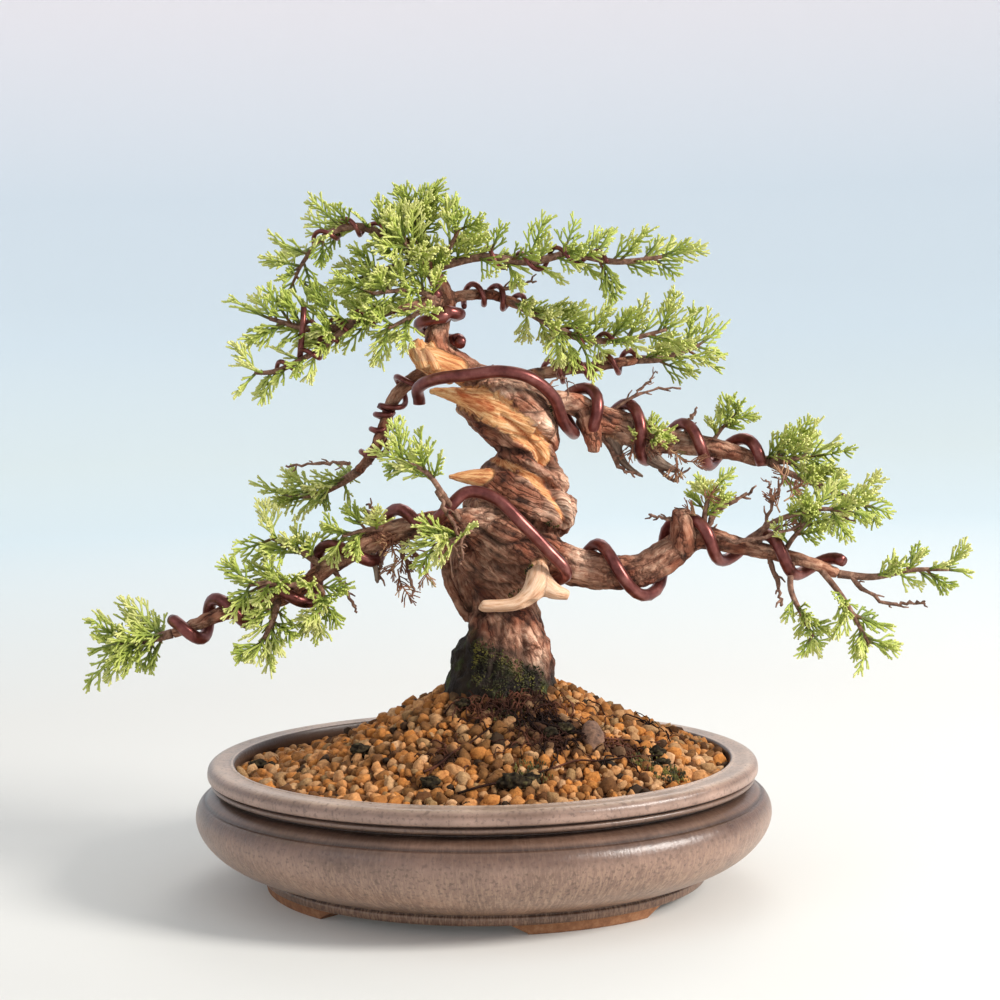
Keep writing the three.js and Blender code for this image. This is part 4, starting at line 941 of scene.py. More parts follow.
def frame_at(points, share):
    """Direction of a line at a share of it, with one direction level and one up."""
    a, b = read_line(points, [share - 0.02, share + 0.02])[:, :3]
    along = (b - a) / np.linalg.norm(b - a)
    side = np.cross(along, (0, -1, 0) if abs(along[2]) > 0.9 else (0, 0, 1))
    side /= np.linalg.norm(side)
    return along, side, np.cross(side, along)


def wound(points, tops, before, after, wire, axis=0, steps=20):
    """Places along a wire wound round a limb's line; tops are where it comes over the top."""
    way = np.sign(tops[1] - tops[0])
    places, due = [], -before
    for share in np.linspace(0, 1, 1201):
        x, y, z, radius = read_line(points, share)[0]
        here = (x, y, z)[axis]
        k = 0
        while k + 2 < len(tops) and (here - tops[k + 1]) * way > 0:
            k += 1
        turns = k + (here - tops[k]) / (tops[k + 1] - tops[k])
        if turns < due or turns > len(tops) - 1 + after:
            continue
        due = turns + 1 / steps
        _, side, up = frame_at(points, share)
        reach = radius + wire / 2 + WIRE_OFF
        places.append(np.array((x, y, z)) + reach * (up * math.cos(2 * math.pi * turns)
                                                     + side * math.sin(2 * math.pi * turns)))
    return places


def eased(points):
    """A free run of wire between two windings, smoothed like the rest."""
    return list(through(points, 8)[1:-1])


def tube(name, points, radii, sides, material):
    """A round piece along places in millimetres, closed at both ends."""
    points = np.asarray(points, float)
    piece = skin(name, tube_rings(points, np.broadcast_to(radii, len(points)), sides))
    turn_out(piece)
    piece.data.materials.append(material)
    return piece


low_left_turns = wound(LIMBS["low_left"], (-29, -56, -80, -101, -119), 0.3, 0, THICK_WIRE)[::-1]
low_right_turns = wound(LIMBS["low_right"], (49, 87, 117, 145), 0.5, 0.3, THICK_WIRE)
high_right_turns = wound(LIMBS["high_right"], (45, 62, 88, 113), 0.3, 0.4, THICK_WIRE)
WIRE_PLACES = {
    "wire_low": (THICK_WIRE, low_left_turns + eased([
        low_left_turns[-1], (-10, -31, 158), (-2, -30, 164), (9, -31, 161), (19, -32, 151), (28, -30, 141),
        (36, -27, 130), low_right_turns[0]]) + low_right_turns),
    "wire_high": (THICK_WIRE, eased([
        (-21, -4, 198), (-21, -5, 200), (-21, -11, 205), (-14, -19, 208.5), (0, -22, 210), (12, -23, 211),
        (24, -21, 208), (33, -15, 200), (37, -7, 190), (41, 3, 185), (42, 14, 185), high_right_turns[0]])
        + high_right_turns),
    "wire_leader": (THICK_WIRE, wound(LIMBS["leader"], (218, 232, 244), 0.1, 0, THICK_WIRE, axis=2)),
    "wire_middle_right": (THIN_WIRE, wound(LIMBS["middle_right"], (34, 43, 57, 68), 0.4, 0.2, THIN_WIRE)),
    "wire_upper_right": (THIN_WIRE, wound(LIMBS["upper_right"], (2, 11, 20), 0.5, 0.3, THIN_WIRE)),
    "wire_left_descending": (THIN_WIRE, wound(LIMBS["left_descending"], (205, 195, 185, 175), 0.4, 0.3,
                                              THIN_WIRE, axis=2)),
}
anodised = speckled_finish("anodised_wire", 170.0, 5.0, [
    (0.3, (0.085, 0.022, 0.019)), (0.5, (0.18, 0.05, 0.043)), (0.68, (0.27, 0.1, 0.083)),
    (0.8, (0.38, 0.2, 0.16))],
    fine=0.6, gloss=(0.22, 0.42), relief=(0.12, 0.0004), Metallic=0.7)
for name, (diameter, places) in WIRE_PLACES.items():
    ends = np.full(len(places), diameter / 2)
    ends[[0, -1]] *= 0.86
    wire = tube("trained_" + name, places, ends, 16 if diameter == THICK_WIRE else 10, anodised)
    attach(wire, "root")
    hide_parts(name)

# ---------------------------------------------------------------- foliage
# Juniper foliage: every leafy stem carries shoots all round it, every shoot carries flat
# fans, and every fan is made of cords about 1 mm thick, sheathed in tiny scale leaves.
# The cords are bright green, darker and browner inside the spray, partly as painted shade, and yellow-green
# at growing tips.
SPRAYS = {  # stem as x, y, z, radius; shoots, reach, lift and how much of the stem is bare
    "leaves_apex": ([(-19, 3, 265, 2), (-20, 2, 270, 1.6), (-21, 0, 275, 0.9)], 6, 14, 0, 0.08),
    "leaves_top_left": ([(-18, 4, 257, 2), (-27, -1, 262, 1.8), (-42, -7, 270, 1.6), (-56, -10, 267, 1.3),
                         (-65, -12, 257, 0.9), (-69, -12, 250, 0.6)], 8, 13, 0.4, 0.08),
    "leaves_top_right": ([(-14, 4, 253, 2), (5, 0, 257, 1.8), (25, -4, 254.5, 1.7), (41, -6, 257, 1.5),
                          (60, -8, 253.5, 1.3), (78, -10, 255, 0.8)], 11, 14, 0.2, 0.08),
    "leaves_left_upper": ([(-29, -14, 237, 2), (-43, -21, 232.5, 1.8), (-59, -26, 229, 1.6),
                           (-78, -30, 234, 0.8)],
                          9, 16, 0.25, 0.08),
    "leaves_left_upper_low": ([(-50, -26, 228.5, 1.4), (-58, -31, 222, 1.2), (-74, -35, 214, 1.1),
                               (-84, -36, 213, 0.7)], 4, 11, 0, 0.08),
    "leaves_left_descending": ([(-48, 24, 170, 2), (-56, 28, 165, 1.8), (-67, 32, 160, 1.4),
                                (-78, 36, 159, 0.8)],
                               6, 14, 0.1, 0.08),
    "leaves_low_left_tip": ([(-120, -34, 111.5, 2), (-129, -34, 109.5, 1.6), (-139, -34, 108, 0.9)],
                            8, 18, 0.1, 0.08),
    "leaves_low_left_up": ([(-60, -25, 135, 1.6), (-70, -29, 143, 1.3), (-80, -32, 148, 0.8)],
                           4, 14, 0.1, 0.08),
    "leaves_low_left_front": ([(-70, -28, 128, 1.6), (-78, -38, 131, 1.3), (-88, -43, 131, 0.8)],
                              4, 14, 0, 0.08),
    "leaves_low_left_down": ([(-78, -29, 124, 1.6), (-80, -40, 116, 1.3), (-84, -43, 108, 0.8)],
                             4, 13, -0.2, 0.08),
    "leaves_trunk_sprout": ([(-6, -27, 153, 1.4), (-11, -35, 162, 1.2), (-18, -43, 173, 1),
                             (-28, -45, 178, 0.6)],
                            4, 12, 0.2, 0.45),
    "leaves_trunk_front": ([(-4, -20, 148, 1.4), (-6, -33, 146, 1.2), (-16, -38, 144, 0.7)], 3, 13, 0, 0.3),
    "leaves_upper_right": ([(24, 14, 236, 1.9), (34, 16, 229, 1.7), (47, 18, 223, 1.5), (64, 19, 222, 1.2),
                            (82, 19, 226, 0.8)], 9, 17, 0.3, 0.08),
    "leaves_middle_right": ([(71, 39, 213.5, 2), (84, 42, 214, 1.6), (98, 44, 219, 0.9)], 5, 15, 0.15, 0.08),
    "leaves_high_right": ([(121, 23, 170, 2.4), (130, 22, 170, 1.8), (141, 21, 171, 0.9)], 6, 17, 0.25, 0.08),
    "leaves_high_right_low": ([(124, 20, 169, 1.4), (136, 12, 163, 1.3), (150, 6, 157, 1),
                               (161, 3, 152, 0.6)],
                              5, 13, 0.1, 0.25),
    "leaves_low_right_tip": ([(146, -16, 126, 1.8), (160, -17, 124.5, 1.4), (176, -18, 127, 1),
                              (190, -20, 127, 0.7)],
                             4, 12, 0.1, 0.3),
    "leaves_low_right_hanging": ([(128, -15, 132, 1.4), (126, -22, 121, 1.2), (131, -24, 109, 0.9),
                                  (134, -25, 102, 0.6)], 3, 10, -0.1, 0.35),
    "leaves_low_right_fall": ([(139, -16, 128, 1.4), (146, -24, 118, 1.2), (152, -26, 107, 0.9),
                               (156, -27, 99, 0.6)], 4, 13, -0.2, 0.2),
    "leaves_low_right_rise": ([(108, -13, 138, 1.4), (120, -20, 148, 1.2), (136, -24, 153, 1),
                               (148, -26, 152, 0.6)],
                              4, 11, 0.1, 0.4),
    "leaves_low_right_sprig": ([(92, -12, 142, 1.4), (93, -16, 153, 1.1), (95, -18, 162, 0.7)],
                               3, 9, 0.2, 0.3),
}
SPRIGS = [  # smaller stems that fill a spray out to the leader or the branch, told as above
    ("leaves_apex", [(-10, 4, 243, 1.4), (-19, -8, 256, 1.1), (-25, -14, 263, 0.7)], 5, 14, 0.1, 0.1),
    ("leaves_apex", [(-14, 5, 250, 1.3), (-7, -5, 261, 1), (-3, -9, 268, 0.6)], 4, 13, 0.1, 0.1),
    ("leaves_top_left", [(-17, 4, 257, 1.3), (-30, -6, 254, 1), (-42, -10, 250, 0.6)], 5, 13, 0, 0.1),
    ("leaves_left_upper", [(-12, -1, 240, 1.4), (-22, -12, 244, 1.1), (-38, -20, 243, 0.7)],
     6, 15, 0.2, 0.05),
    ("leaves_left_upper", [(-14, -4, 239, 1.3), (-22, -16, 234, 1), (-32, -24, 229, 0.6)], 4, 13, -0.1, 0.1),
    ("leaves_upper_right", [(16, 12, 240, 1.2), (26, 8, 233, 1), (36, 4, 226, 0.6)], 4, 12, -0.1, 0.1),
    ("leaves_low_left_up", [(-34, -22, 149, 1.2), (-42, -28, 150, 1), (-52, -33, 148, 0.6)], 4, 12, 0, 0.15),
    ("leaves_low_left_front", [(-66, -27, 131, 1.2), (-60, -36, 126, 1), (-62, -40, 118, 0.6)],
     4, 12, -0.2, 0.1),
    ("leaves_low_right_rise", [(124, -14, 134, 1.2), (128, -20, 142, 1), (134, -24, 148, 0.6)],
     3, 10, 0.1, 0.2),
    ("leaves_high_right", [(100, 20, 178, 1), (104, 18, 184, 0.8), (110, 16, 190, 0.5)], 3, 8, 0.3, 0.2),
    ("leaves_high_right", [(70, 16, 176, 0.9), (73, 12, 180, 0.7), (76, 10, 183, 0.5)], 3, 6, 0.1, 0.2),
]
GOLDEN = math.pi * (3 - math.sqrt(5))
SHOOT_SEGMENTS = 6
FINGER_HALF = 0.42                 # half-thickness of a cord, in mm
FILLING = 2                        # finer shoots that stand between the main ones, for each of them
PAIRS = 4                          # side cords on each shoot, to either hand
INSIDE = 0.0006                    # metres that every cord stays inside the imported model's box
SHOOT_SEED, FILLING_SEED, SPRIG_SEED = 100, 500, 900
CORD_SEED, FILLING_CORD_SEED, SPRIG_CORD_SEED = 300, 700, 950


def draws(seed):
    """Evenly spread numbers from 0 to 1, the same ones every time."""
    state = seed
    while True:
        state = (state * 1664525 + 1013904223) % 4294967296
        yield state / 4294967296


def unit(vector):
    return vector / np.linalg.norm(vector)


def shoots_of(stem, shoots, reach, lift, bare_share, seed):
    """Where the shoots of a spray run, and the tips of the fans that they carry."""
    draw = draws(seed)
    plan = []
    for j in range(shoots):
        share = bare_share + (1 - bare_share) * (j + 0.7) / shoots
        along, side, up = frame_at(stem, min(share, 1))
        turn = GOLDEN * j + next(draw)
        lean = 0.2 if share > 0.97 else 0.9 * (0.8 + 0.4 * next(draw))
        way = along * math.cos(lean) + math.sin(lean) * (side * math.cos(turn) + up * math.sin(turn))
        way = unit(way + (0, 0, lift))
        length = reach * (0.8 + 0.45 * next(draw))
        rise = 0.2 * length * (next(draw) - 0.3)
        root = read_line(stem, share)[0][:3]
        across = unit(np.cross(way, (0.1, 0.2, 1)))
        above_it = np.cross(across, way)
        spin = 2 * math.pi * next(draw)
        centres = [root + way * length * k / SHOOT_SEGMENTS
                   + np.array((0, 0, rise * (k / SHOOT_SEGMENTS) ** 2)) for k in range(SHOOT_SEGMENTS + 1)]
        fans = []
        for k in range(2, SHOOT_SEGMENTS):
            for face in (k % 3, (k + 1) % 3):
                turned = spin + 2 * math.pi * (face + 0.5) / 3
                out = 7 * (1.15 - 0.08 * k) * (0.8 + 0.4 * next(draw))
                start = (centres[k] + centres[k + 1]) / 2
                fans.append((start, start + out * (way * math.cos(0.8) + math.sin(0.8) * (
                    across * math.cos(turned) + above_it * math.sin(turned)))))
        plan.append((centres, way, fans))
    return plan


def cords_of(plan, seed, pairs=PAIRS):
    """Every cord of a spray: foot, direction, length, half-thickness, how far out (which gives inner cords
    painted shade), and tone.
    """
    draw = draws(seed)
    cords = []

    def cord(foot, way, length, half, out, tone):
        cords.append((*foot, *way, length, half, out, tone))
        return foot + way * length

    def finger(foot, way, onward, flat, length, out, tone):
        """A cord that bends towards the shoot's own direction, and forks once or twice like an antler."""
        middle = cord(foot, way, 0.5 * length, FINGER_HALF, out, tone)
        bent = unit(way + 0.5 * onward)
        cord(middle - 0.03 * length * bent, bent, 0.53 * length, 0.94 * FINGER_HALF, out + 0.17, tone)
        hand = 1 if next(draw) > 0.5 else -1
        for share, least in ((0.45, 3.6), (0.7, 6.5)):
            if length > least:
                start = foot + 0.5 * length * way * min(share / 0.5, 1) + bent * length * max(share - 0.5, 0)
                fork = unit(bent + hand * flat * (0.4 + 0.25 * next(draw))
                            + 0.3 * (next(draw) - 0.5) * np.cross(bent, flat))
                cord(start, fork, length * (0.62 - 0.4 * share) * (0.8 + 0.4 * next(draw)), 0.9 * FINGER_HALF,
                     out + 0.2, tone)
                hand = -hand

    for centres, way, fingers in plan:
        tone = next(draw)
        length = np.linalg.norm(centres[-1] - centres[0])
        flat = unit(np.cross(way, (next(draw) - 0.5, next(draw) - 0.5, 1.3 * (next(draw) - 0.35))))
        for k, (a, b) in enumerate(zip(centres[:-1], centres[1:])):
            cord(a, unit(b - a), np.linalg.norm(b - a) * 1.2, 0.62 - 0.03 * k, 0.05 + 0.11 * k, tone)
        for foot, tip in fingers:
            finger(foot, unit(tip - foot), way, unit(np.cross(tip - foot, way)), np.linalg.norm(tip - foot),
                   0.5, tone)
        for k in range(pairs):
            u = (k + 0.9) / pairs
            foot = centres[0] + (centres[-1] - centres[0]) * u * 0.97
            for hand in (-1, 1):
                spread_by = 0.74 - 0.2 * u + 0.4 * (next(draw) - 0.5)
                side = unit(way * math.cos(spread_by) + hand * flat * math.sin(spread_by)
                            + 0.8 * (next(draw) - 0.5) * np.cross(way, flat))
                reach = min(0.68 * length, 10) * (1.05 - 0.5 * u) * (0.75 + 0.5 * next(draw))
                finger(foot + way * 0.8 * (next(draw) - 0.5), side, way, flat * hand, reach, 0.4 + 0.25 * u,
                       tone)
        finger(centres[-1], way, way, flat, 2.6, 0.75, tone)
    return np.array(cords)


cord_recipe, given = recipe_of("scale_leaf_cords", "GeometryNodeTree", {
    "Geometry": "Geometry", "Sides": "Int", "Rings": "Int", "Material": "Material"}, {"Geometry": "Geometry"})
way, half, reach = (cord_recipe.node("GeometryNodeInputNamedAttribute", {"Name": name}, data_type=kind)[0]
                    for name, kind in (("way", "FLOAT_VECTOR"), ("half", "FLOAT"), ("reach", "FLOAT")))
core = cord_recipe.node("GeometryNodeCurvePrimitiveLine", {"Start": (0, 0, 0), "End": (0, 0, 1)})[0]
ringed = cord_recipe.node("GeometryNodeResampleCurve", {"Curve": core, "Count": given["Rings"]})[0]
share = cord_recipe.node("GeometryNodeSplineParameter")["Factor"]
marked = cord_recipe.node("GeometryNodeStoreNamedAttribute", {
    "Geometry": ringed, "Name": "along_cord", "Value": share}, data_type="FLOAT")[0]
swell = cord_recipe.node("ShaderNodeFloatCurve", {"Value": share})[0]
curve = swell.node.mapping.curves[0]
curve.points[0].location, curve.points[-1].location = (0.0, 0.8), (1.0, 0.3)
for place_on, size_at in ((0.35, 1.0), (0.7, 0.95)):
    curve.points.new(place_on, size_at)
swell.node.mapping.update()
sized = cord_recipe.node("GeometryNodeSetCurveRadius", {"Curve": marked, "Radius": swell})[0]
section = cord_recipe.node("GeometryNodeCurvePrimitiveCircle", {
    "Resolution": given["Sides"], "Radius": 1.0})[0]
one_cord = cord_recipe.node("GeometryNodeCurveToMesh", {
    "Curve": sized, "Profile Curve": section, "Fill Caps": True})[0]
gives_pieces(cord_recipe, cord_recipe.node("GeometryNodeInstanceOnPoints", {
    "Points": given["Geometry"], "Instance": one_cord,
    "Rotation": cord_recipe.node("FunctionNodeAlignRotationToVector", {"Vector": way}, axis="Z")[0],
    "Scale": cord_recipe.node("ShaderNodeCombineXYZ", {"X": half, "Y": half, "Z": reach})[0]})[0],
    given["Material"])

leaf_green = Finish("scale_leaf_green", Roughness=0.5, Specular_IOR_Level=0.35)
# How far out a cord is darkens the inner cords, partly as painted shade.
tone_and_inner_shade = leaf_green.math("ADD", leaf_green.named("out"),
                        leaf_green.math("MULTIPLY", leaf_green.named("along_cord"), 0.22))
for factor, strength, less in ((leaf_green.cloud(leaf_green.place, 38.0, 3.0), 0.35, -0.2),
                               (leaf_green.named("tone"), 0.42, -0.21)):
    tone_and_inner_shade = leaf_green.math("ADD", tone_and_inner_shade, leaf_green.math("MULTIPLY_ADD", factor, strength, less))
green = leaf_green.ramp(
    tone_and_inner_shade, (0.0, (0.17, 0.065, 0.025)), (0.14, (0.1, 0.08, 0.02)), (0.3, (0.12, 0.17, 0.025)),
    (0.5, (0.28, 0.35, 0.052)), (0.7, (0.46, 0.52, 0.105)), (0.88, (0.6, 0.63, 0.18)),
    (1.0, (0.7, 0.69, 0.26)))
scales = leaf_green.node("ShaderNodeTexVoronoi", {"Vector": leaf_green.place, "Scale": 1100.0})["Distance"]
leaf_green.put("Base Color", leaf_green.tinted(0.4, green, scales, (0.1, (1.15, 1.15, 1.1)),
                                               (0.7, (0.62, 0.66, 0.55))))
leaf_green.relief(scales, 0.5, -0.0004)
twig_bark = speckled_finish(
    "twig_bark", 420.0, 6.0, [(0.32, (0.06, 0.026, 0.018)), (0.5, (0.19, 0.09, 0.055)),
                              (0.68, (0.38, 0.22, 0.15))],
    fine=0.7, relief=(0.7, 0.0006), Roughness=0.8)
box_low, box_high = np.array(cad_box[0]), np.array(cad_box[1])


def leafy(name, cords, material):
    """Cords laid by the recipe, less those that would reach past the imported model."""
    feet_at, ways = from_mm(cords[:, :3]), cords[:, 3:6]
    tips_at = feet_at + ways * cords[:, 6:7] / 1000
    within = ((tips_at > box_low + INSIDE) & (tips_at < box_high - INSIDE)).all(1)
    cords, feet_at, ways = cords[within], feet_at[within], ways[within]
    mesh = bpy.data.meshes.new(name + "_points")
    mesh.from_pydata([tuple(p) for p in feet_at], [], [])
    carrier = set_out(name + "_points", mesh)
    paint(carrier, "way", ways, "FLOAT_VECTOR")
    for label, values in (("reach", cords[:, 6] / 1000), ("half", cords[:, 7] / 1000), ("out", cords[:, 8]),
                          ("tone", cords[:, 9])):
        paint(carrier, label, values)
    return grown_from(name, carrier, cord_recipe, Sides=5, Rings=3, Material=material)


def bundle(name, runs, sides, material):
    """Many round runs as one piece, each closed at both ends: (points, radii) in millimetres."""
    joined = bmesh.new()
    for points, radii in runs:
        run = tube("run", points, radii, sides, material)
        joined.from_mesh(run.data)
        bpy.data.objects.remove(run)
    return shaped(name, joined, material)


for index, (name, (stem, shoots, reach, lift_by, bare_share)) in enumerate(SPRAYS.items()):
    main_shoots = shoots_of(stem, shoots, reach, lift_by, bare_share, SHOOT_SEED + index)
    filling = shoots_of(stem, FILLING * shoots, 0.86 * reach, lift_by, bare_share, FILLING_SEED + index)
    grown = [cords_of(main_shoots, CORD_SEED + index),
             cords_of([(centres, way, []) for centres, way, _ in filling], FILLING_CORD_SEED + index)]
    stems = [stem]
    for k, (host, twig, more, out_to, rise, bare_by) in enumerate(SPRIGS):
        if host == name:
            stems.append(twig)
            grown.append(cords_of(shoots_of(twig, 2 * more, out_to, rise, bare_by, SPRIG_SEED + k),
                                  SPRIG_CORD_SEED + k))
    foliage = leafy(name + "_cords", np.vstack(grown), leaf_green.material)
    lines = [through(line, 8) for line in stems]
    stalk = bundle(name + "_stems", [(fine[:, :3], fine[:, 3]) for fine in lines], 10, twig_bark)
    for piece, slot in ((foliage, "foliage"), (stalk, "bark")):
        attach(piece, "root")
        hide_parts(name)

# ---------------------------------------------------------------- dead twigs and shoots
# Bare crooked side twigs, one or two millimetres thick, left where foliage was cut or has
# died, and a few shoots under the branches whose scale leaves have gone brown and dry.
DEAD_TWIGS = [  # root radius, then x, y and z from root to tip
    (0.9, [(-51, 16, 174), (-64, 16, 174), (-78, 16, 173)]),
    (1.0, [(13, 9, 243), (21, 8, 246), (28, 8, 247)]),
    (1.0, [(81, -18, 150), (75, -18, 151), (70, -18, 152)]),
    (1.3, [(94, -13, 143), (97, -14, 152), (105, -14, 157), (112, -14, 160)]),
    (1.0, [(114, -14, 138), (120, -15, 155), (125, -15, 166)]),
    (0.7, [(120, -15, 155), (119, -15, 161), (118, -15, 165)]),
    (1.1, [(96, -14, 142), (107, -22, 141), (130, -22, 146), (150, -22, 149)]),
    (1.2, [(118, -14, 135), (122, -15, 122), (123, -15, 113)]),
    (1.0, [(150, -17, 125), (164, -20, 114), (173, -20, 114), (180, -20, 114)]),
    (1.2, [(53, 16, 185), (61, 14, 170), (69, 14, 166)]),
    (1.1, [(86, 20, 179), (91, 18, 188), (94, 18, 193)]),
    (1.1, [(73, 18, 180), (81, 14, 164), (90, 14, 168)]),
    (0.9, [(55, 17, 190), (70, 16, 200), (87, 16, 202)]),
    (0.6, [(68, 16, 199), (74, 13, 205), (77, 12, 209)]),
    (1.0, [(-38, -21, 149), (-40, -24, 156), (-42, -25, 160)]),
    (1.1, [(-37, -22, 146), (-38, -24, 135), (-39, -24, 129)]),
    (1.1, [(-26, -20, 148), (-29, -24, 142), (-27, -24, 133), (-24, -24, 124)]),
    (1.0, [(-57, -25, 136), (-52, -28, 126), (-47, -28, 117)]),
    (1.0, [(-14, -38, 167), (-12, -36, 159), (-8, -34, 151), (-5, -34, 143), (-6, -34, 135)]),
    (0.9, [(-10, -36, 146), (-9, -34, 144), (-5, -34, 138)]),
    (0.5, [(30, -13, 204), (36, -12, 208), (39, -11, 206), (39, -10, 200)]),
]
DEAD_SHOOTS = [  # stem, shoots, reach
    ([(-30, -22, 149, 1), (-29, -26, 145, 0.8), (-20, -27, 134, 0.5)], 5, 9),
    ([(-34, -22, 148, 1), (-31, -26, 140, 0.8), (-31, -26, 129, 0.5)], 5, 8),
    ([(76, 18, 182, 1), (82, 13, 176, 0.8), (88, 12, 171, 0.5)], 4, 7),
    ([(66, 18, 180, 1), (66, 12, 184, 0.8), (70, 10, 178, 0.5)], 4, 6),
    ([(118, -14, 139, 1), (124, -16, 154, 0.8), (127, -16, 163, 0.5)], 5, 8),
    ([(92, -12, 142, 1), (91, -17, 150, 0.8), (93, -18, 158, 0.5)], 4, 7),
]
TWIG_SEED, DEAD_SHOOT_SEED, DEAD_CORD_SEED = 61, 1100, 1200
draw = draws(TWIG_SEED)


def off_centre(count):
    """Numbers from -0.5 to 0.5, from the same row of draws as the twigs."""
    return [next(draw) - 0.5 for _ in range(count)]


dead_runs = []
for radius, points in DEAD_TWIGS:
    fine = through(points, 7)
    wobble = np.array([off_centre(3) for _ in fine]) * 1.3
    wobble[0] = 0
    taper = radius * np.linspace(1, 0.45, len(fine)) * (1 + 0.5 * np.array(off_centre(len(fine))))
    dead_runs.append((fine + wobble, taper))
    for k in range(2, len(fine) - 1, 3):
        way = unit(fine[k + 1] - fine[k])
        aside = unit(np.cross(way, off_centre(3)))
        reach = 1.6 + 3.2 * next(draw)
        dead_runs.append(([fine[k] + wobble[k], fine[k] + reach * (0.55 * aside + 0.3 * way),
                           fine[k] + reach * (0.8 * aside + 0.75 * way)],
                          [0.5 * radius, 0.4 * radius, 0.25 * radius]))
dead_twigs = bundle("dead_twigs", dead_runs, 7, twig_bark)
dry_leaf = speckled_finish("dry_brown_scale_leaf", 90.0, 4.0, [
    (0.35, (0.12, 0.045, 0.025)), (0.52, (0.32, 0.14, 0.075)), (0.62, (0.42, 0.26, 0.13)),
    (0.72, (0.34, 0.33, 0.1))],
    Roughness=0.8)
shrivelled = np.vstack([cords_of(shoots_of(stem, shoots, reach, -0.15, 0.1, DEAD_SHOOT_SEED + k),
                                 DEAD_CORD_SEED + k, 1)
                        for k, (stem, shoots, reach) in enumerate(DEAD_SHOOTS)])
shrivelled[:, 7] *= 0.6
dead_shoots = leafy("dead_shoots", shrivelled, dry_leaf)
for piece in (dead_twigs, dead_shoots):
    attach(piece, "root")
    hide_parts("trunk")

# ---------------------------------------------------------------- surface roots
# Fine feeding roots, washed out of the soil round the foot, thickest on the right, dark
# purple-brown and matted, with a few long ones that run down the slope to the rim.
ROOT_MATS = [  # runs, middle x and y, spread along x and y, length, height over the grains
    (70, 24, -38, 11, 10, 14, 2.4), (70, 10, -27, 13, 6, 12, 3.4), (26, 56, -39, 9, 7, 12, 1.8),
    (20, -12, -52, 8, 6, 12, 1.4), (20, 40, -24, 12, 8, 13, 2.2), (12, 70, -8, 8, 14, 12, 2.4),
]
LONG_ROOTS = [  # x and y on the soil
    [(-9, -76), (0, -74), (9, -71), (26, -63), (37, -57), (46, -54), (60, -45), (72, -38)],
    [(-22, -60), (-16, -56), (-10, -50), (-4, -46), (4, -40)],
    [(22, -36), (33, -38), (47, -38), (60, -32), (72, -26)],
]
ROOT_STEPS = 7
root_skin = speckled_finish("fine_root_skin", 70.0, 4.0, [
    (0.38, (0.01, 0.004, 0.003)), (0.52, (0.036, 0.012, 0.007)), (0.66, (0.14, 0.05, 0.028))],
    Roughness=0.85, Specular_IOR_Level=0.15)

root_runs = []
for runs, middle_x, middle_y, wide, deep, length, over in ROOT_MATS:
    for _ in range(runs):
        x, y = middle_x + wide * (2 * next(draw) - 1), middle_y + deep * (2 * next(draw) - 1)
        heading = 2 * math.pi * next(draw)
        points = []
        for step in range(ROOT_STEPS + 1):
            bob = over * next(draw) if 0 < step < ROOT_STEPS else -0.5
            points.append((x, y, float(mound(x, y)) + 0.6 + bob))
            heading += 1.5 * (next(draw) - 0.5)
            x += length / ROOT_STEPS * math.cos(heading)
            y += length / ROOT_STEPS * math.sin(heading)
        root_runs.append((through(points, 2), 0.16 + 0.2 * next(draw)))
for line in LONG_ROOTS:
    fine = through([(x, y, float(mound(x, y)) + 1.6 + 1.2 * next(draw)) for x, y in line], 6)
    root_runs.append((fine, 0.55 * np.linspace(1, 0.6, len(fine))))
surface_roots = bundle("surface_roots", root_runs, 5, root_skin)
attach(surface_roots, "root")
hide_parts("trunk")

# ---------------------------------------------------------------- moss and black lumps
# Green moss grows on the wet side of the foot, in the trunk's creases and in patches on
# the soil; soft black lumps of old humus lie among the grains near the front.
MOSS_PATCHES = [  # x, y, z, tufts
    (4, -22, 93, 300), (14, -24, 88, 260), (24, -22, 88, 160), (18, -18, 117, 60), (31, -18, 150, 30),
    (22, -22, 130, 40), (-2, -18, 99, 100), (36, -8, 196, 50),
]
MOSS_ON_SOIL = [  # x, y, radius, tufts
    (73, -51, 8, 260), (64, -46, 6, 140), (70, -36, 5, 90), (20, -63, 8, 150), (12, -30, 9, 120),
]
HUMUS_LUMPS = [  # x, y, half-size
    (-93, 9, 3.4), (-87, 4, 2.2), (-48, -27, 3.4), (-19, -66, 3.4), (12, -70, 5), (19, -68, 3),
    (69, -36, 3.4), (72, -42, 2.4), (34, -36, 3.2), (28, -40, 2.8), (-6, -22, 3),
]
tufts = []


def on_soil(x, y, over):
    """A place over the soil, in millimetres."""
    return x, y, float(mound(x, y)) + over


def tuft_at(foot, outward):
    way = unit(outward + 0.9 * np.array([next(draw) - 0.5, next(draw) - 0.5, next(draw) - 0.2]))
    tufts.append((*(foot - 0.2 * outward), *way, 0.5 + 0.9 * next(draw), 0.18 + 0.12 * next(draw), 0.5,
                  next(draw)))


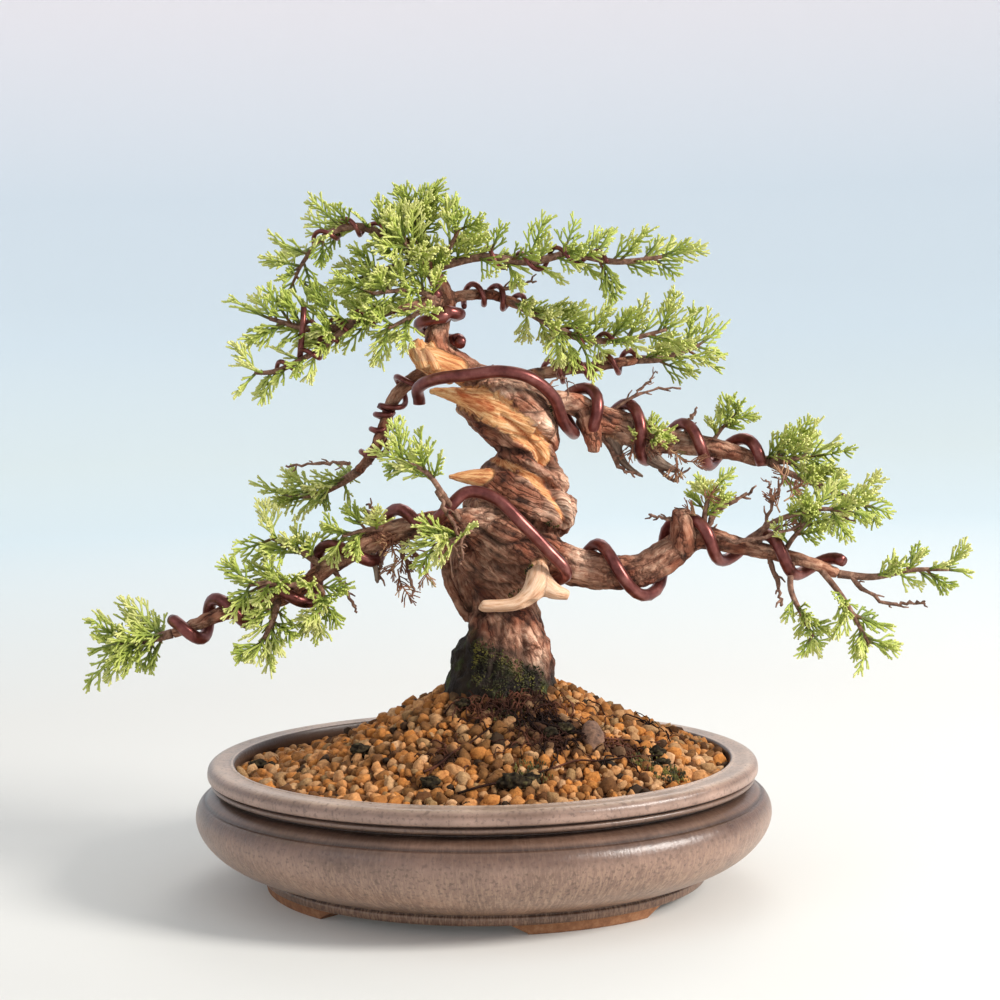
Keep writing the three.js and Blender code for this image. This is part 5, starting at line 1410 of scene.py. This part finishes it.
for a, b, c, many in MOSS_PATCHES:
    near = np.argsort(((spots - (a, b, c)) ** 2).sum(1))[:2 * many]
    for _ in range(many):
        at = near[int(next(draw) * len(near))]
        tuft_at(spots[at], normals[at])
for a, b, radius, many in MOSS_ON_SOIL:
    for _ in range(many):
        turn, away = 2 * math.pi * next(draw), radius * next(draw)
        tuft_at(np.array(on_soil(a + away * math.cos(turn), b + away * math.sin(turn), 1.2)),
                np.array((0, 0, 1)))
moss = leafy("moss_tufts", np.array(tufts), speckled_finish("moss_green", 210.0, 5.0, [
    (0.38, (0.016, 0.015, 0.005)), (0.52, (0.056, 0.052, 0.01)), (0.68, (0.21, 0.18, 0.03))], Roughness=0.85))
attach(moss, "root")
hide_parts("soil")

lump_balls = bmesh.new()
for a, b, half in HUMUS_LUMPS:
    for vertex in bmesh.ops.create_icosphere(lump_balls, subdivisions=4, radius=1)["verts"]:
        worn = 1 + 0.5 * noise.noise(vertex.co * 1.6 + Vector((a, b, 0))) + 0.22 * noise.noise(vertex.co * 5)
        vertex.co = from_mm(Vector((1.15 * half, half, 0.72 * half)) * vertex.co * worn
                            + Vector(on_soil(a, b, 1.4)))
humus_lumps = shaped("humus_lumps", lump_balls, speckled_finish("black_humus", 500.0, 5.0, [
    (0.4, (0.012, 0.009, 0.006)), (0.58, (0.04, 0.029, 0.016)), (0.72, (0.1, 0.085, 0.035))],
    Roughness=0.95, Specular_IOR_Level=0.1), smooth=True)
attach(humus_lumps, "root")
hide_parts("soil")

# ---------------------------------------------------------------- fine wire in the foliage
# Wire of 1.9 mm wound on along the leafy stems, seen where it comes over the top, with one
# stiff end of the thin wire that stands straight up out of the upper left spray.
FINE_WIRE = 1.9
for name, tops in (("leaves_left_upper", (-34, -43, -53, -63)), ("leaves_left_upper_low", (-56, -64, -73)),
                   ("leaves_top_left", (-27, -37, -48, -58)), ("leaves_top_right", (8, 21, 36, 52)),
                   ("leaves_upper_right", (30, 42, 56))):
    wire = tube(name + "_wire", wound(SPRAYS[name][0], tops, 0.3, 0.3, FINE_WIRE), FINE_WIRE / 2, 10,
                anodised)
    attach(wire, "root")
    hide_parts(name)
wire_end = tube("upright_wire_end", [(-64.2, -33, 238.2), (-64.8, -33, 231), (-66, -32, 222.5),
                                     (-67, -31, 213.7)],
                THIN_WIRE / 2, 12, anodised)
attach(wire_end, "root")
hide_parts("leaves_left_upper")
